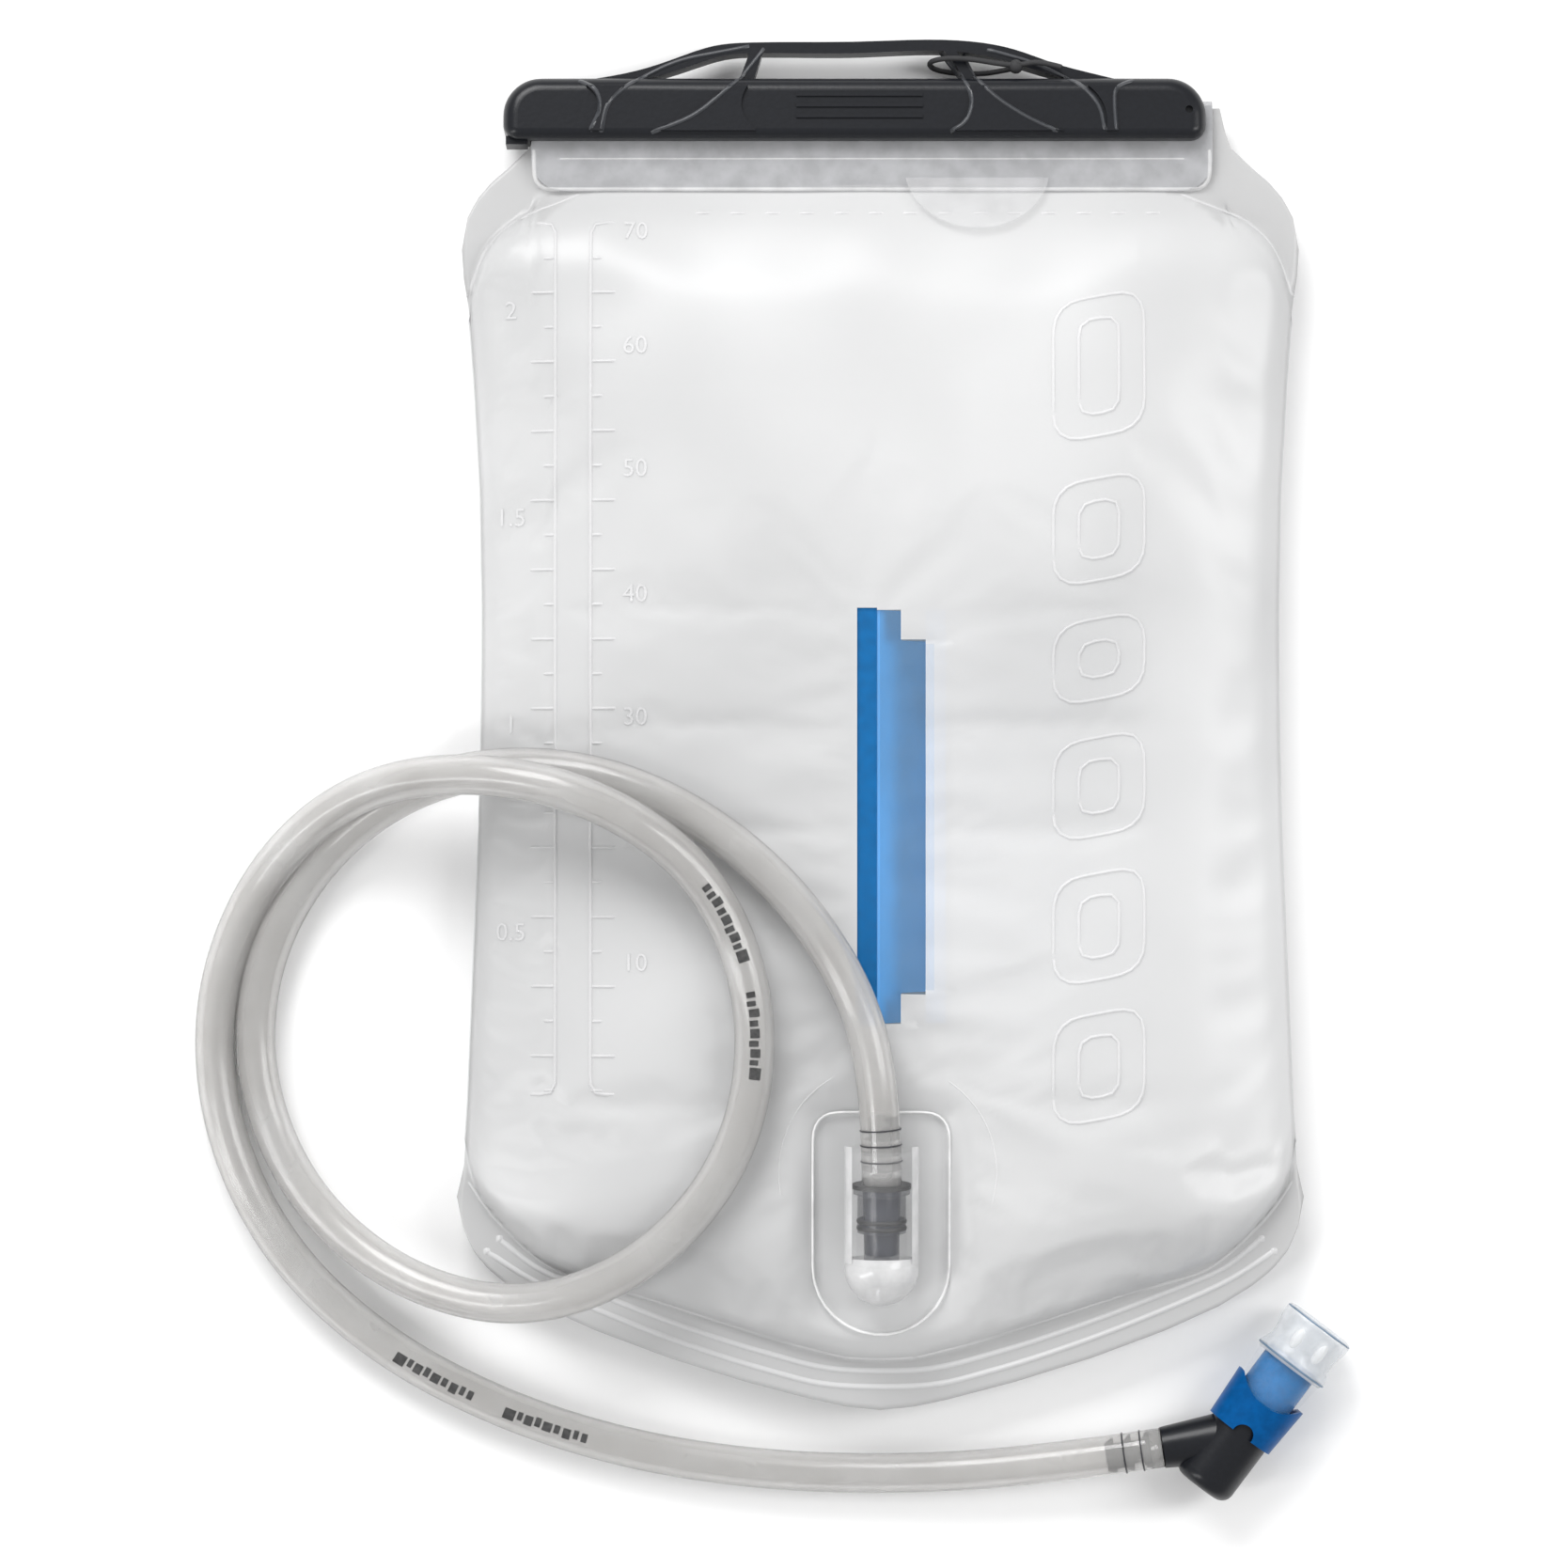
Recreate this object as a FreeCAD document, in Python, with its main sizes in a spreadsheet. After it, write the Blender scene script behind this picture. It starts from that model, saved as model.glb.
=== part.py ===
import FreeCAD, Part
import math
import os

from FreeCAD import Placement, Rotation, Vector

# A two litre hydration reservoir lying on its back. +Y runs from the outlet
# port to the slide seal, +X to the right of the front panel, +Z out of the
# front panel. The origin is on the ground under the middle of the reservoir.

doc = FreeCAD.newDocument("HydrationReservoir")

# ---------------------------------------------------------------- sizes (mm)
SIZES = [
    ("film", 0.5, "panel film thickness"),
    ("clearance", 0.3, "gap between pieces that move past each other"),
    ("seal_gap", 0.07, "gap left round a sealing ring"),
    ("seam_height", 10.8, "height of the side seam above the ground"),
    ("waist", 94.0, "half width of the bag at its middle"),
    ("shoulder_flare", 5.4, "how far the flat shoulders stand out past the waist"),
    ("foot_flare", 6.6, "how far the bottom corners stand out past the waist"),
    ("apex_y", -162.7, "tip of the bottom flange"),
    ("rise", 14.5, "height of the filled front above the seam"),
    ("drop", 12.5, "depth of the filled back below the seam, before the ground flattens it"),
    ("mouth_tilt", 6.5, "slope of the mouth towards the ground, degrees"),
    ("mouth_bend_y", 104.0, "where the mouth starts to slope"),
    ("mouth_left", 83.0, "left reach of the mouth strip"),
    ("mouth_right", 79.0, "right reach of the mouth strip"),
    ("strip", 0.8, "mouth strip thickness where it is welded on"),
    ("fold_gap", 0.8, "gap inside the folded mouth"),
    ("lip", 1.0, "thickness of the folded lip"),
    ("lip_bottom_y", 126.6, "lower edge of the folded lip"),
    ("fold_top_y", 148.6, "top of the fold"),
    ("lip_corner", 8.0, "corner radius of the folded lip"),
    ("bar_left", 89.6, "left end of the slide seal"),
    ("bar_right", 77.3, "right end of the slide seal"),
    ("bar_bottom_y", 138.7, "slot edge of the slide seal"),
    ("bar_width", 14.8, "slide seal, slot edge to back"),
    ("bar_depth", 13.4, "slide seal thickness"),
    ("bar_round", 3.6, "edge radius of the slide seal"),
    ("end_round", 9.0, "corner radius of its ends"),
    ("handle_top_y", 162.7, "top of the handle"),
    ("handle_bar", 2.8, "width of the handle strip"),
    ("handle_depth", 5.0, "handle thickness"),
    ("grip", 0.9, "height of the raised grips on the slide seal"),
    ("port_y", -107.4, "place of the connector's rim"),
    ("port_tilt", 5.0, "slope of the port, degrees"),
    ("port_top_z", 23.4, "height of the port plate's upper end"),
    ("port_top_y", -90.6, "upper edge of the port plate"),
    ("plate", 1.2, "port plate thickness"),
    ("plate_half", 16.7, "half width of the port plate"),
    ("plate_length", 54.0, "length of the port plate"),
    ("plate_corner", 7.0, "upper corner radius of the port plate"),
    ("socket", 6.0, "radius of the port's socket"),
    ("socket_wall", 2.5, "wall of the port's housing"),
    ("socket_depth", 18.0, "depth of the socket below the rim"),
    ("hood", 8.8, "length of the housing above the rim"),
    ("seat_hole", 3.2, "radius of the hole in the valve seat"),
    ("seat_wall", 1.5, "thickness of the valve seat"),
    ("housing_length", 28.9, "rim to the rounded end of the housing"),
    ("poppet_stroke", 3.0, "travel of the port's poppet"),
    ("rim", 6.9, "radius of the connector's rim"),
    ("rim_thickness", 1.0, "thickness of the connector's rim"),
    ("nose", 4.2, "radius of the connector's nose"),
    ("seal_ring", 0.6, "half thickness of the connector's sealing rings"),
    ("bore", 3.2, "inside radius of the drink tube"),
    ("tube", 4.75, "outside radius of the drink tube"),
    ("barb_bite", 0.25, "how far a barb presses into the tube"),
    ("barb_length", 16.0, "length of the connector's barb"),
    ("valve_height", 9.5, "height of the bite valve's axis above the ground"),
    ("elbow", 7.6, "radius of the valve's elbow"),
    ("elbow_length", 22.0, "length of the elbow"),
    ("elbow_bore", 5.0, "bore of the elbow"),
    ("inlet", 4.9, "radius of the elbow's inlet"),
    ("inlet_reach", 15.0, "where the inlet meets the elbow's axis"),
    ("core", 6.9, "radius of the shut-off core"),
    ("core_bore", 3.6, "bore of the shut-off core"),
    ("core_top", 37.5, "end of the shut-off core"),
    ("collar_bottom", 16.0, "lower edge of the shut-off collar"),
    ("collar_top", 28.6, "upper edge of the shut-off collar"),
    ("collar_flare", 0.75, "how far the collar flares out"),
    ("sheath", 1.0, "wall of the mouthpiece over the core"),
    ("mouth_ring", 9.3, "radius of the mouthpiece's ring"),
    ("mouth_waist", 8.2, "radius of the mouthpiece's waist"),
    ("mouth_tip", 9.1, "radius of the mouthpiece's tip"),
    ("mouth_length", 48.4, "end of the mouthpiece"),
    ("track_width", 4.7, "width of a baffle track"),
    ("track_depth", 3.0, "depth of a baffle track"),
    ("track_bottom_y", -71.0, "lower end of the baffle"),
    ("track_top_y", 27.5, "upper end of the baffle"),
    ("web", 0.6, "thickness of the baffle's web"),
    ("web_reach", 14.0, "sideways reach of the baffle's web"),
    ("tether", 0.65, "radius of the slide seal's tether"),
    ("knot", 1.7, "radius of the tether's knot"),
    ("outlet_hole", 3.0, "radius of the hole in the front film under the port"),
    ("feed", 2.6, "radius of the water passage in the port plate"),
    ("poppet_stem", 1.9, "radius of the poppet's stem"),
    ("poppet_head", 4.2, "radius of the poppet's head"),
    ("poppet_disc", 1.1, "thickness of the poppet's head"),
    ("spring_out", 2.2, "outer radius of the closing spring"),
    ("spring_in", 1.5, "inner radius of the closing spring"),
    ("rim_flange", 1.2, "thickness of the connector's flange under its gasket"),
    ("neck", 1.6, "how far the connector's neck stands out past the bore"),
    ("barrel", 9.2, "length of the connector's barrel"),
    ("nose_length", 6.8, "length of the connector's nose"),
    ("first_ring", 7.7, "depth of the connector's first seal ring"),
    ("ring_pitch", 1.6, "distance between the connector's seal rings"),
    ("waterway", 1.9, "radius of the passage through barbs"),
    ("barb_root", 0.4, "how far a barb's root is inside the hose's bore"),
    ("barb_first", 3.2, "place of the first barb"),
    ("barb_pitch", 3.7, "distance between barbs"),
    ("barb_rise", 3.4, "length of one barb"),
    ("inlet_wide", 6.4, "radius of the valve's inlet where it meets the body"),
    ("inlet_length", 17.0, "length of the valve's slanting inlet"),
    ("inlet_barb", 13.6, "length of the valve's barb"),
    ("inlet_ridge", 2.2, "length of one ridge on the valve's barb"),
    ("elbow_foot", 3.0, "rounding of the elbow's closed end"),
    ("collar_wall", 0.75, "thinnest wall of the twist collar"),
    ("scoop", 11.0, "radius of the scoops in the collar's upper edge"),
    ("notch", 2.6, "radius of the notch in the collar's lower edge"),
    ("sleeve_bottom", 25.0, "lower end of the mouthpiece's sleeve"),
    ("core_ring", 0.5, "section radius of the valve core's seal ring"),
]

sheet = doc.addObject("Spreadsheet::Sheet", "Sizes")
for row, (alias, number, note) in enumerate(SIZES, start=1):
    sheet.set("A%d" % row, note)
    sheet.set("B%d" % row, str(number))
    sheet.setAlias("B%d" % row, alias)
doc.recompute()

size = {alias: float(sheet.get(alias)) for alias, number, note in SIZES}
NODES = []
REACH = 400.0                # longer than the whole reservoir, for cutting blocks


# ------------------------------------------------------------ small helpers
def node(thing, label, placement=None):
    """A finished piece: named, put in its place and kept for export."""
    thing.Label = label
    if placement is not None:
        thing.Placement = placement
    NODES.append(thing)
    return thing


def shaped(label, shape, placement=None):
    """A piece whose shape comes from Part's own curves and lofts."""
    thing = doc.addObject("Part::Feature", label)
    thing.Shape = shape
    return node(thing, label, (placement or Placement()).multiply(shape.Placement))


def bind(thing, **sizes):
    """Bind properties of a piece to the sheet."""
    for name, formula in sizes.items():
        thing.setExpression(name.replace("_", "."), formula)
    return thing


def cylinder(name, radius, length, start):
    """Round bar along Z, from start."""
    bar = doc.addObject("Part::Cylinder", name)
    return bind(bar, Radius=radius, Height=length, Placement_Base_z=start)


def cone(name, low_radius, high_radius, length, start):
    """Tapered bar along Z, from start."""
    taper = doc.addObject("Part::Cone", name)
    bind(taper, Radius1=low_radius, Radius2=high_radius, Height=length)
    return bind(taper, Placement_Base_z=start)


def ring(name, middle_radius, thickness_radius, height):
    """Round-section ring about Z."""
    torus = doc.addObject("Part::Torus", name)
    return bind(torus, Radius1=middle_radius, Radius2=thickness_radius, Placement_Base_z=height)


def box(name, length, width, height, x, y, z):
    """Block with its low corner at x, y, z."""
    block = doc.addObject("Part::Box", name)
    bind(block, Length=length, Width=width, Height=height)
    return bind(block, Placement_Base_x=x, Placement_Base_y=y, Placement_Base_z=z)


def group(name, *pieces):
    """Separate solids kept together."""
    together = doc.addObject("Part::Compound", name)
    together.Links = list(pieces)
    return together


def fuse(name, *pieces):
    joined = doc.addObject("Part::MultiFuse", name)
    joined.Shapes = list(pieces)
    joined.Refine = True
    return joined


def cut(name, base, tool):
    result = doc.addObject("Part::Cut", name)
    result.Base = base
    result.Tool = tool
    result.Refine = True
    return result


def smooth_edge(points):
    """One smooth curve through the points."""
    curve = Part.BSplineCurve()
    curve.interpolate([Vector(x, y, 0) for x, y in points])
    return curve.toShape()


def plan_face(edges):
    """Flat face bounded by edges that meet end to end."""
    return Part.Face(Part.Wire(Part.__sortEdges__(edges)))


def polygon_face(points):
    """Flat face with straight sides."""
    corners = [Vector(*p) for p in points]
    return Part.Face(Part.makePolygon(corners + corners[:1]))


# ------------------------------------------------------------- frames
# The seam between the two panels is level up to the mouth, which slopes
# down until the slide seal rests on the ground.
MOUTH_SLOPE = math.tan(math.radians(size["mouth_tilt"]))
PORT_SLOPE = math.tan(math.radians(size["port_tilt"]))


def seam_z(y):
    return size["seam_height"] - max(0.0, y - size["mouth_bend_y"]) * MOUTH_SLOPE


MOUTH = Placement(
    Vector(0, size["mouth_bend_y"], size["seam_height"]),
    Rotation(Vector(1, 0, 0), -size["mouth_tilt"]),
)
PORT_Z = size["port_top_z"] + (size["port_y"] - size["port_top_y"]) * PORT_SLOPE
PORT_AXIS_HEIGHT = size["plate"] + size["socket"] + size["socket_wall"] - 0.2
PORT = Placement(Vector(0, size["port_y"], PORT_Z), Rotation(Vector(1, 0, 0), size["port_tilt"]))
# The connector and the housing are drawn along Z and turned to point at +Y.
ALONG_Y = Placement(Vector(0, 0, PORT_AXIS_HEIGHT), Rotation(Vector(1, 0, 0), -90))
OUTLET = PORT.multiply(ALONG_Y)

# The bite valve lies on its side: Z is its own axis, Y is up.
VALVE_FOOT = Vector(size["waist"] - 18.2, size["apex_y"] - 18.3, size["valve_height"])
VALVE_AXIS = Vector(0.6, 0.8, 0)
VALVE = Placement(VALVE_FOOT, Rotation(Vector(0, 0, 1).cross(VALVE_AXIS), Vector(0, 0, 1), VALVE_AXIS, "ZYX"))


# ------------------------------------------------------------- film panels
def bag_outline():
    """Plan outline of the welded panels, without the mouth."""
    waist = size["waist"] + 0.6
    shoulder = size["waist"] + size["shoulder_flare"]
    foot = size["waist"] + size["foot_flare"]
    apex = size["apex_y"]
    side = [
        (shoulder - 16.4, 137.6), (shoulder - 6.9, 129.5), (shoulder - 1.9, 123.0), (shoulder, 113.0),
        (shoulder - 2.3, 92.0), (waist + 0.6, 55.0), (waist, 25.0), (waist + 1.3, -25.0),
        (foot - 2.4, 0.553 * apex), (foot, 0.688 * apex), (foot - 4.6, 0.774 * apex),
        (foot - 20.0, 0.846 * apex),
    ]
    bottom = [
        (foot - 20.0, 0.846 * apex), (0.496 * foot, 0.924 * apex), (0.149 * foot, 0.986 * apex), (0.0, apex),
    ]
    mirrored_side = [(-x, y) for x, y in side]
    mirrored_bottom = [(-x, y) for x, y in bottom]
    top = Part.makeLine(Vector(16.4 - shoulder, 137.6, 0), Vector(shoulder - 16.4, 137.6, 0))
    return plan_face([
        smooth_edge(side), smooth_edge(bottom), smooth_edge(mirrored_bottom),
        smooth_edge(mirrored_side), top,
    ])


# Where the two panels stand apart: place as a share of the way to the apex
# (below 0) or of the way to the fold (above it), half width as a share of the
# waist's, and the share of the full rise and drop there.
BULGE = [
    (-0.916, 0.149, 0.10), (-0.873, 0.447, 0.40), (-0.805, 0.819, 0.72), (-0.719, 0.968, 0.86),
    (-0.615, 1.027, 0.95), (-0.504, 1.019, 1.0), (0.0, 1.0, 1.0), (0.417, 1.005, 1.0),
    (0.639, 1.016, 0.80), (0.740, 0.989, 0.55), (0.794, 0.926, 0.33), (0.841, 0.809, 0.12),
    (0.902, 0.766, 0.05),
]


def bulge(height, inset, side):
    """Loft of half ellipses on the seam, towards the front (1) or the back (-1)."""
    sections = []
    for place, width, share in BULGE:
        y = place * (size["fold_top_y"] if place > 0 else -size["apex_y"])
        half = size["waist"] * width - inset
        peak = height * share - inset
        centre = Vector(0, y, seam_z(y))
        ellipse = Part.Ellipse(centre + Vector(half, 0, 0), centre + Vector(0, 0, peak), centre)
        half_turn = (0, math.pi) if side > 0 else (math.pi, 2 * math.pi)
        arch = ellipse.toShape(*half_turn)
        ends = [arch.Vertexes[0].Point, arch.Vertexes[1].Point]
        sections.append(Part.Wire([arch, Part.makeLine(ends[1], ends[0])]))
    return Part.makeLoft(sections, True, True)


def seam_slab(low, high):
    """Slab along the seam between two offsets from it, as wide as the bag."""
    corners = [(size["apex_y"] - 5, low), (size["mouth_bend_y"], low), (size["fold_top_y"], low),
               (size["fold_top_y"], high), (size["mouth_bend_y"], high), (size["apex_y"] - 5, high)]
    profile = polygon_face([(-REACH / 2, y, seam_z(y) + offset) for y, offset in corners])
    return profile.extrude(Vector(REACH, 0, 0))


def film_plan():
    """The bag's outline with the mouth's tongue, which runs up into the slide seal."""
    tongue = Part.makeBox(
        size["mouth_left"] + size["mouth_right"] - 2.0, size["fold_top_y"] - 130.0 - 1.0, 1,
        Vector(1.0 - size["mouth_left"], 130.0, 0),
    )
    sheet_plan = bag_outline().extrude(Vector(0, 0, 1)).fuse(tongue)
    tall = FreeCAD.Matrix()
    tall.scale(1, 1, 60)
    return sheet_plan.transformGeometry(tall)


PLAN = film_plan()
FILM = size["film"]

front = PLAN.common(seam_slab(0, FILM)).fuse(bulge(size["rise"], 0.0, 1))
hollow = bulge(size["rise"], FILM, 1)
# The stiff port plate holds the front film flat under it.
port_far = 60.0
above_port = polygon_face([
    (-REACH / 2, size["port_y"] - port_far, PORT_Z - port_far * PORT_SLOPE),
    (-REACH / 2, size["port_y"] + port_far, PORT_Z + port_far * PORT_SLOPE),
    (-REACH / 2, size["port_y"] + port_far, PORT_Z + REACH),
    (-REACH / 2, size["port_y"] - port_far, PORT_Z + REACH),
]).extrude(Vector(REACH, 0, 0))
above_film = above_port.copy()
above_film.translate(Vector(0, 0, -FILM))
front = front.cut(above_port).cut(hollow.cut(above_film))
# A round outlet hole under the port's housing.
outlet_hole = Part.makeCylinder(size["outlet_hole"], 6.0, Vector(0, size["port_y"] - 21.5, PORT_Z - 6.0))
shaped("front_panel", front.cut(outlet_hole))

back = PLAN.common(seam_slab(-FILM, 0)).fuse(bulge(size["drop"], 0.0, -1))
ground = Part.makeBox(REACH, REACH, REACH, Vector(-REACH / 2, -REACH / 2, -REACH))
ground_film = ground.copy()
ground_film.translate(Vector(0, 0, FILM))
back = back.cut(ground).cut(bulge(size["drop"], FILM, -1).cut(ground_film))
shaped("back_panel", back)


# ------------------------------------------------------------- folded mouth
# Drawn in the mouth's own frame: Y up the bag from the bend, Z out of the front.
def mouth_y(y):
    return y - size["mouth_bend_y"]


STRIP_TOP = FILM + size["strip"]
LIP_LOW = STRIP_TOP + size["fold_gap"]
LIP_HIGH = LIP_LOW + size["lip"]
MOUTH_LENGTH = size["mouth_left"] + size["mouth_right"]


def folded_mouth():
    """A stiff strip welded to the front film, folded forward and hanging down as a lip."""
    fold_outer = (LIP_HIGH - FILM) / 2
    fold_inner = size["fold_gap"] / 2
    turn_y = mouth_y(size["fold_top_y"]) - fold_outer
    weld_y = mouth_y(size["bar_bottom_y"]) + 1.0
    low_y = mouth_y(size["lip_bottom_y"])
    middle = FILM + fold_outer
    x = -size["mouth_left"]
    bend_out = Part.Arc(Vector(x, turn_y, FILM), Vector(x, turn_y + fold_outer, middle),
                        Vector(x, turn_y, LIP_HIGH)).toShape()
    hollow_middle = STRIP_TOP + fold_inner
    bend_in = Part.Arc(Vector(x, turn_y, LIP_LOW), Vector(x, turn_y + fold_inner, hollow_middle),
                       Vector(x, turn_y, STRIP_TOP)).toShape()
    corners = [(turn_y, LIP_HIGH), (low_y, LIP_HIGH), (low_y, LIP_LOW), (turn_y, LIP_LOW)]
    lip_edges = [Part.makeLine(Vector(x, *a), Vector(x, *b)) for a, b in zip(corners, corners[1:])]
    welded = [(turn_y, STRIP_TOP), (weld_y, STRIP_TOP), (weld_y, FILM), (turn_y, FILM)]
    weld_edges = [Part.makeLine(Vector(x, *a), Vector(x, *b)) for a, b in zip(welded, welded[1:])]
    strip = plan_face([bend_out] + lip_edges + [bend_in] + weld_edges).extrude(Vector(MOUTH_LENGTH, 0, 0))
    rounded = [edge for edge in strip.Edges if is_lip_corner(edge, low_y)]
    return strip.makeFillet(size["lip_corner"], rounded)


def is_lip_corner(edge, low_y):
    """The short upright edges at the lip's lower corners."""
    ends = [v.Point for v in edge.Vertexes]
    return len(ends) == 2 and all(abs(p.y - low_y) < 0.01 for p in ends) and abs(ends[0].x - ends[1].x) < 0.01


shaped("mouth_strip", folded_mouth(), MOUTH)

# Pull tab on the front of the lip, a flat tongue with a round end.
TAB_X = 23.0
TAB_HALF = 17.0
TAB_REACH = 11.4
tab_top = mouth_y(size["lip_bottom_y"]) + 3.0
tab_arc = Part.Arc(
    Vector(TAB_X - TAB_HALF, tab_top, 0), Vector(TAB_X, tab_top - 3.0 - TAB_REACH, 0),
    Vector(TAB_X + TAB_HALF, tab_top, 0),
).toShape()
tab_line = Part.makeLine(Vector(TAB_X - TAB_HALF, tab_top, 0), Vector(TAB_X + TAB_HALF, tab_top, 0))
tab = plan_face([tab_arc, tab_line]).extrude(Vector(0, 0, 0.6))
# It leans out over the filled bag from the face of the lip.
TAB_LEAN = Placement(Vector(0, tab_top, LIP_HIGH), Rotation(Vector(1, 0, 0), -24.0))
tab.translate(Vector(0, -tab_top, 0))
shaped("pull_tab", tab, MOUTH.multiply(TAB_LEAN))


# ------------------------------------------------------------- slide seal
# A stiff moulded channel, closed at its left end, that slides over the folded
# mouth. It is drawn round the middle of the fold.
BAR_MIDDLE = (LIP_HIGH - FILM) / 2
SLOT_LOW = -FILM - size["clearance"]
SLOT_HIGH = LIP_HIGH + size["clearance"]
BAR_LOW_Z = BAR_MIDDLE - size["bar_depth"] / 2
BAR_HIGH_Z = BAR_MIDDLE + size["bar_depth"] / 2
BAR_TOP_Y = size["bar_bottom_y"] + size["bar_width"]


def slide_seal_bar():
    length = size["bar_left"] + size["bar_right"]
    low = Vector(-size["bar_left"], mouth_y(size["bar_bottom_y"]), BAR_LOW_Z)
    bar = Part.makeBox(length, size["bar_width"], size["bar_depth"], low)
    back_y = mouth_y(BAR_TOP_Y)
    end_edges = [e for e in bar.Edges if abs(e.Length - size["bar_depth"]) < 0.001]
    top_ends = [e for e in end_edges if abs(e.CenterOfMass.y - back_y) < 0.01]
    bar = bar.makeFillet(size["end_round"], top_ends)
    low_edges = [e for e in bar.Edges if e.Length > 100 and abs(e.CenterOfMass.y - low.y) < 0.01]
    bar = bar.makeFillet(size["bar_round"] * 0.6, low_edges)
    top_edges = [e for e in bar.Edges if e.Length > 100 and abs(e.CenterOfMass.y - back_y) < 0.01]
    bar = bar.makeFillet(size["bar_round"], top_edges)
    slot_top = mouth_y(size["fold_top_y"]) + size["clearance"]
    slot_left = -size["mouth_left"] - size["clearance"]
    slot = Part.makeBox(
        length + 10, slot_top - low.y + 1, SLOT_HIGH - SLOT_LOW, Vector(slot_left, low.y - 1, SLOT_LOW)
    )
    return bar.cut(slot)


def ribbon(left, right, low, high):
    """Upright plate between two smooth lines that run the same way in plan."""
    near = smooth_edge(left)
    far = smooth_edge(right)
    start = Part.makeLine(Vector(*left[0], 0), Vector(*right[0], 0))
    end = Part.makeLine(Vector(*left[-1], 0), Vector(*right[-1], 0))
    plate = plan_face([near, far, start, end]).extrude(Vector(0, 0, high - low))
    plate.translate(Vector(0, 0, low))
    return plate


def in_mouth(points):
    return [(x, mouth_y(y)) for x, y in points]


def slide_seal():
    top = size["handle_top_y"]
    under = top - size["handle_bar"]
    low = BAR_MIDDLE - size["handle_depth"] / 2
    high = BAR_MIDDLE + size["handle_depth"] / 2
    root = BAR_TOP_Y - 2.5
    arch_over = in_mouth([(-84.0, root), (-66.0, 154.0), (-57.0, 155.9), (-48.3, 158.8), (-39.4, 161.7),
                          (-30.5, top - 0.2), (-5.0, top), (23.0, top - 0.1), (32.0, 160.8), (41.0, 157.6),
                          (50.0, 155.1), (66.0, root)])
    arch_under = in_mouth([(-70.0, root), (-60.0, 152.8), (-52.0, 154.6), (-44.0, 157.2), (-36.5, 159.4),
                           (-29.5, under), (-5.0, under), (21.5, under), (29.0, 158.3), (37.0, 155.8),
                           (45.0, 153.6), (56.0, root)])
    whole = slide_seal_bar()
    whole = whole.fuse(ribbon(arch_over, arch_under, low, high))
    struts = [
        (in_mouth([(-30.8, 161.0), (-34.0, 152.0)]), in_mouth([(-27.8, 161.0), (-30.5, 152.0)])),
        (in_mouth([(14.6, 161.0), (17.5, 157.6), (20.4, 152.0)]),
         in_mouth([(17.8, 161.0), (20.9, 156.4), (23.9, 152.0)])),
    ]
    for left, right in struts:
        whole = whole.fuse(ribbon(left, right, low, high))
    # Raised grips that run on from the struts down both faces of the bar.
    bottom = size["bar_bottom_y"] + 1.4
    grips = [
        (in_mouth([(-36.0, 151.0), (-43.0, 145.8), (-54.0, bottom)]),
         in_mouth([(-31.5, 151.0), (-33.0, 147.0), (-29.5, bottom)])),
        (in_mouth([(21.2, 151.0), (21.2, 146.0), (16.6, bottom)]),
         in_mouth([(24.8, 151.0), (31.0, 145.8), (43.5, bottom)])),
        (in_mouth([(-69.8, 151.0), (-66.8, 147.0), (-69.0, bottom)]),
         in_mouth([(-60.8, 151.0), (-64.6, 147.0), (-65.8, bottom)])),
        (in_mouth([(49.2, 151.0), (52.6, 147.0), (53.6, bottom)]),
         in_mouth([(56.0, 151.0), (55.6, 147.0), (56.2, bottom)])),
    ]
    for left, right in grips:
        whole = whole.fuse(ribbon(left, right, BAR_HIGH_Z - 1.0, BAR_HIGH_Z + size["grip"]))
    # Smooth lengthwise ribs in the middle panel, where a thumb pushes.
    for rib in range(3):
        y = mouth_y(size["bar_bottom_y"]) + 4.6 + 2.6 * rib
        block = Part.makeBox(30.0, 0.9, size["grip"] + 1.0 - 0.4, Vector(-20.0, y, BAR_HIGH_Z - 1.0))
        whole = whole.fuse(block)
    foot = Part.makeBox(5.1, 2.0, 6.0, Vector(-size["bar_left"] + 0.6, mouth_y(size["bar_bottom_y"]) - 1.0,
                                              BAR_MIDDLE - 3.0))
    whole = whole.fuse(foot)
    # The handle's eye near the right end takes the tether.
    eye = Part.makeCylinder(0.9, 3.0, Vector(size["bar_right"] - 4.1, mouth_y(145.4), BAR_HIGH_Z - 1.2))
    return whole.cut(eye).removeSplitter()


shaped("slide_seal_bar", slide_seal(), MOUTH)


# ------------------------------------------------------------- cords
def cord_path(points, name):
    """Straight runs joined by arcs as large as the two runs allow."""
    corners = [Vector(*p) for p in points]
    edges = []
    last = corners[0]
    radii = []
    for before, corner, after in zip(corners, corners[1:], corners[2:]):
        back_run = (before - corner).Length
        next_run = (after - corner).Length
        into = (before - corner) / back_run
        out = (after - corner) / next_run
        turn = math.pi - into.getAngle(out)
        reach = 0.45 * min(back_run, next_run)
        radius = reach / math.tan(turn / 2)
        radii.append(radius)
        start = corner + into * reach
        end = corner + out * reach
        bisector = (into + out).normalize()
        middle = corner + bisector * (radius / math.cos(turn / 2) - radius)
        edges.append(Part.LineSegment(last, start).toShape())
        edges.append(Part.Arc(start, middle, end).toShape())
        last = end
    edges.append(Part.LineSegment(last, corners[-1]).toShape())
    print("%s: radii %s mm" % (name, " ".join("%.0f" % r for r in radii)))
    return Part.Wire(edges)


def along(path, radius):
    """Round section swept along a path."""
    start = path.Vertexes[0].Point
    first = path.Edges[0]
    direction = first.tangentAt(first.FirstParameter)
    section = Part.Wire([Part.Circle(start, direction, radius).toShape()])
    return path.makePipeShell([section], True, True)


def check_length(name, shape, path, section):
    ratio = shape.Volume / (section * path.Length)
    print("%s: length %.1f mm, volume is %.4f of section times length" % (name, path.Length, ratio))


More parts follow.
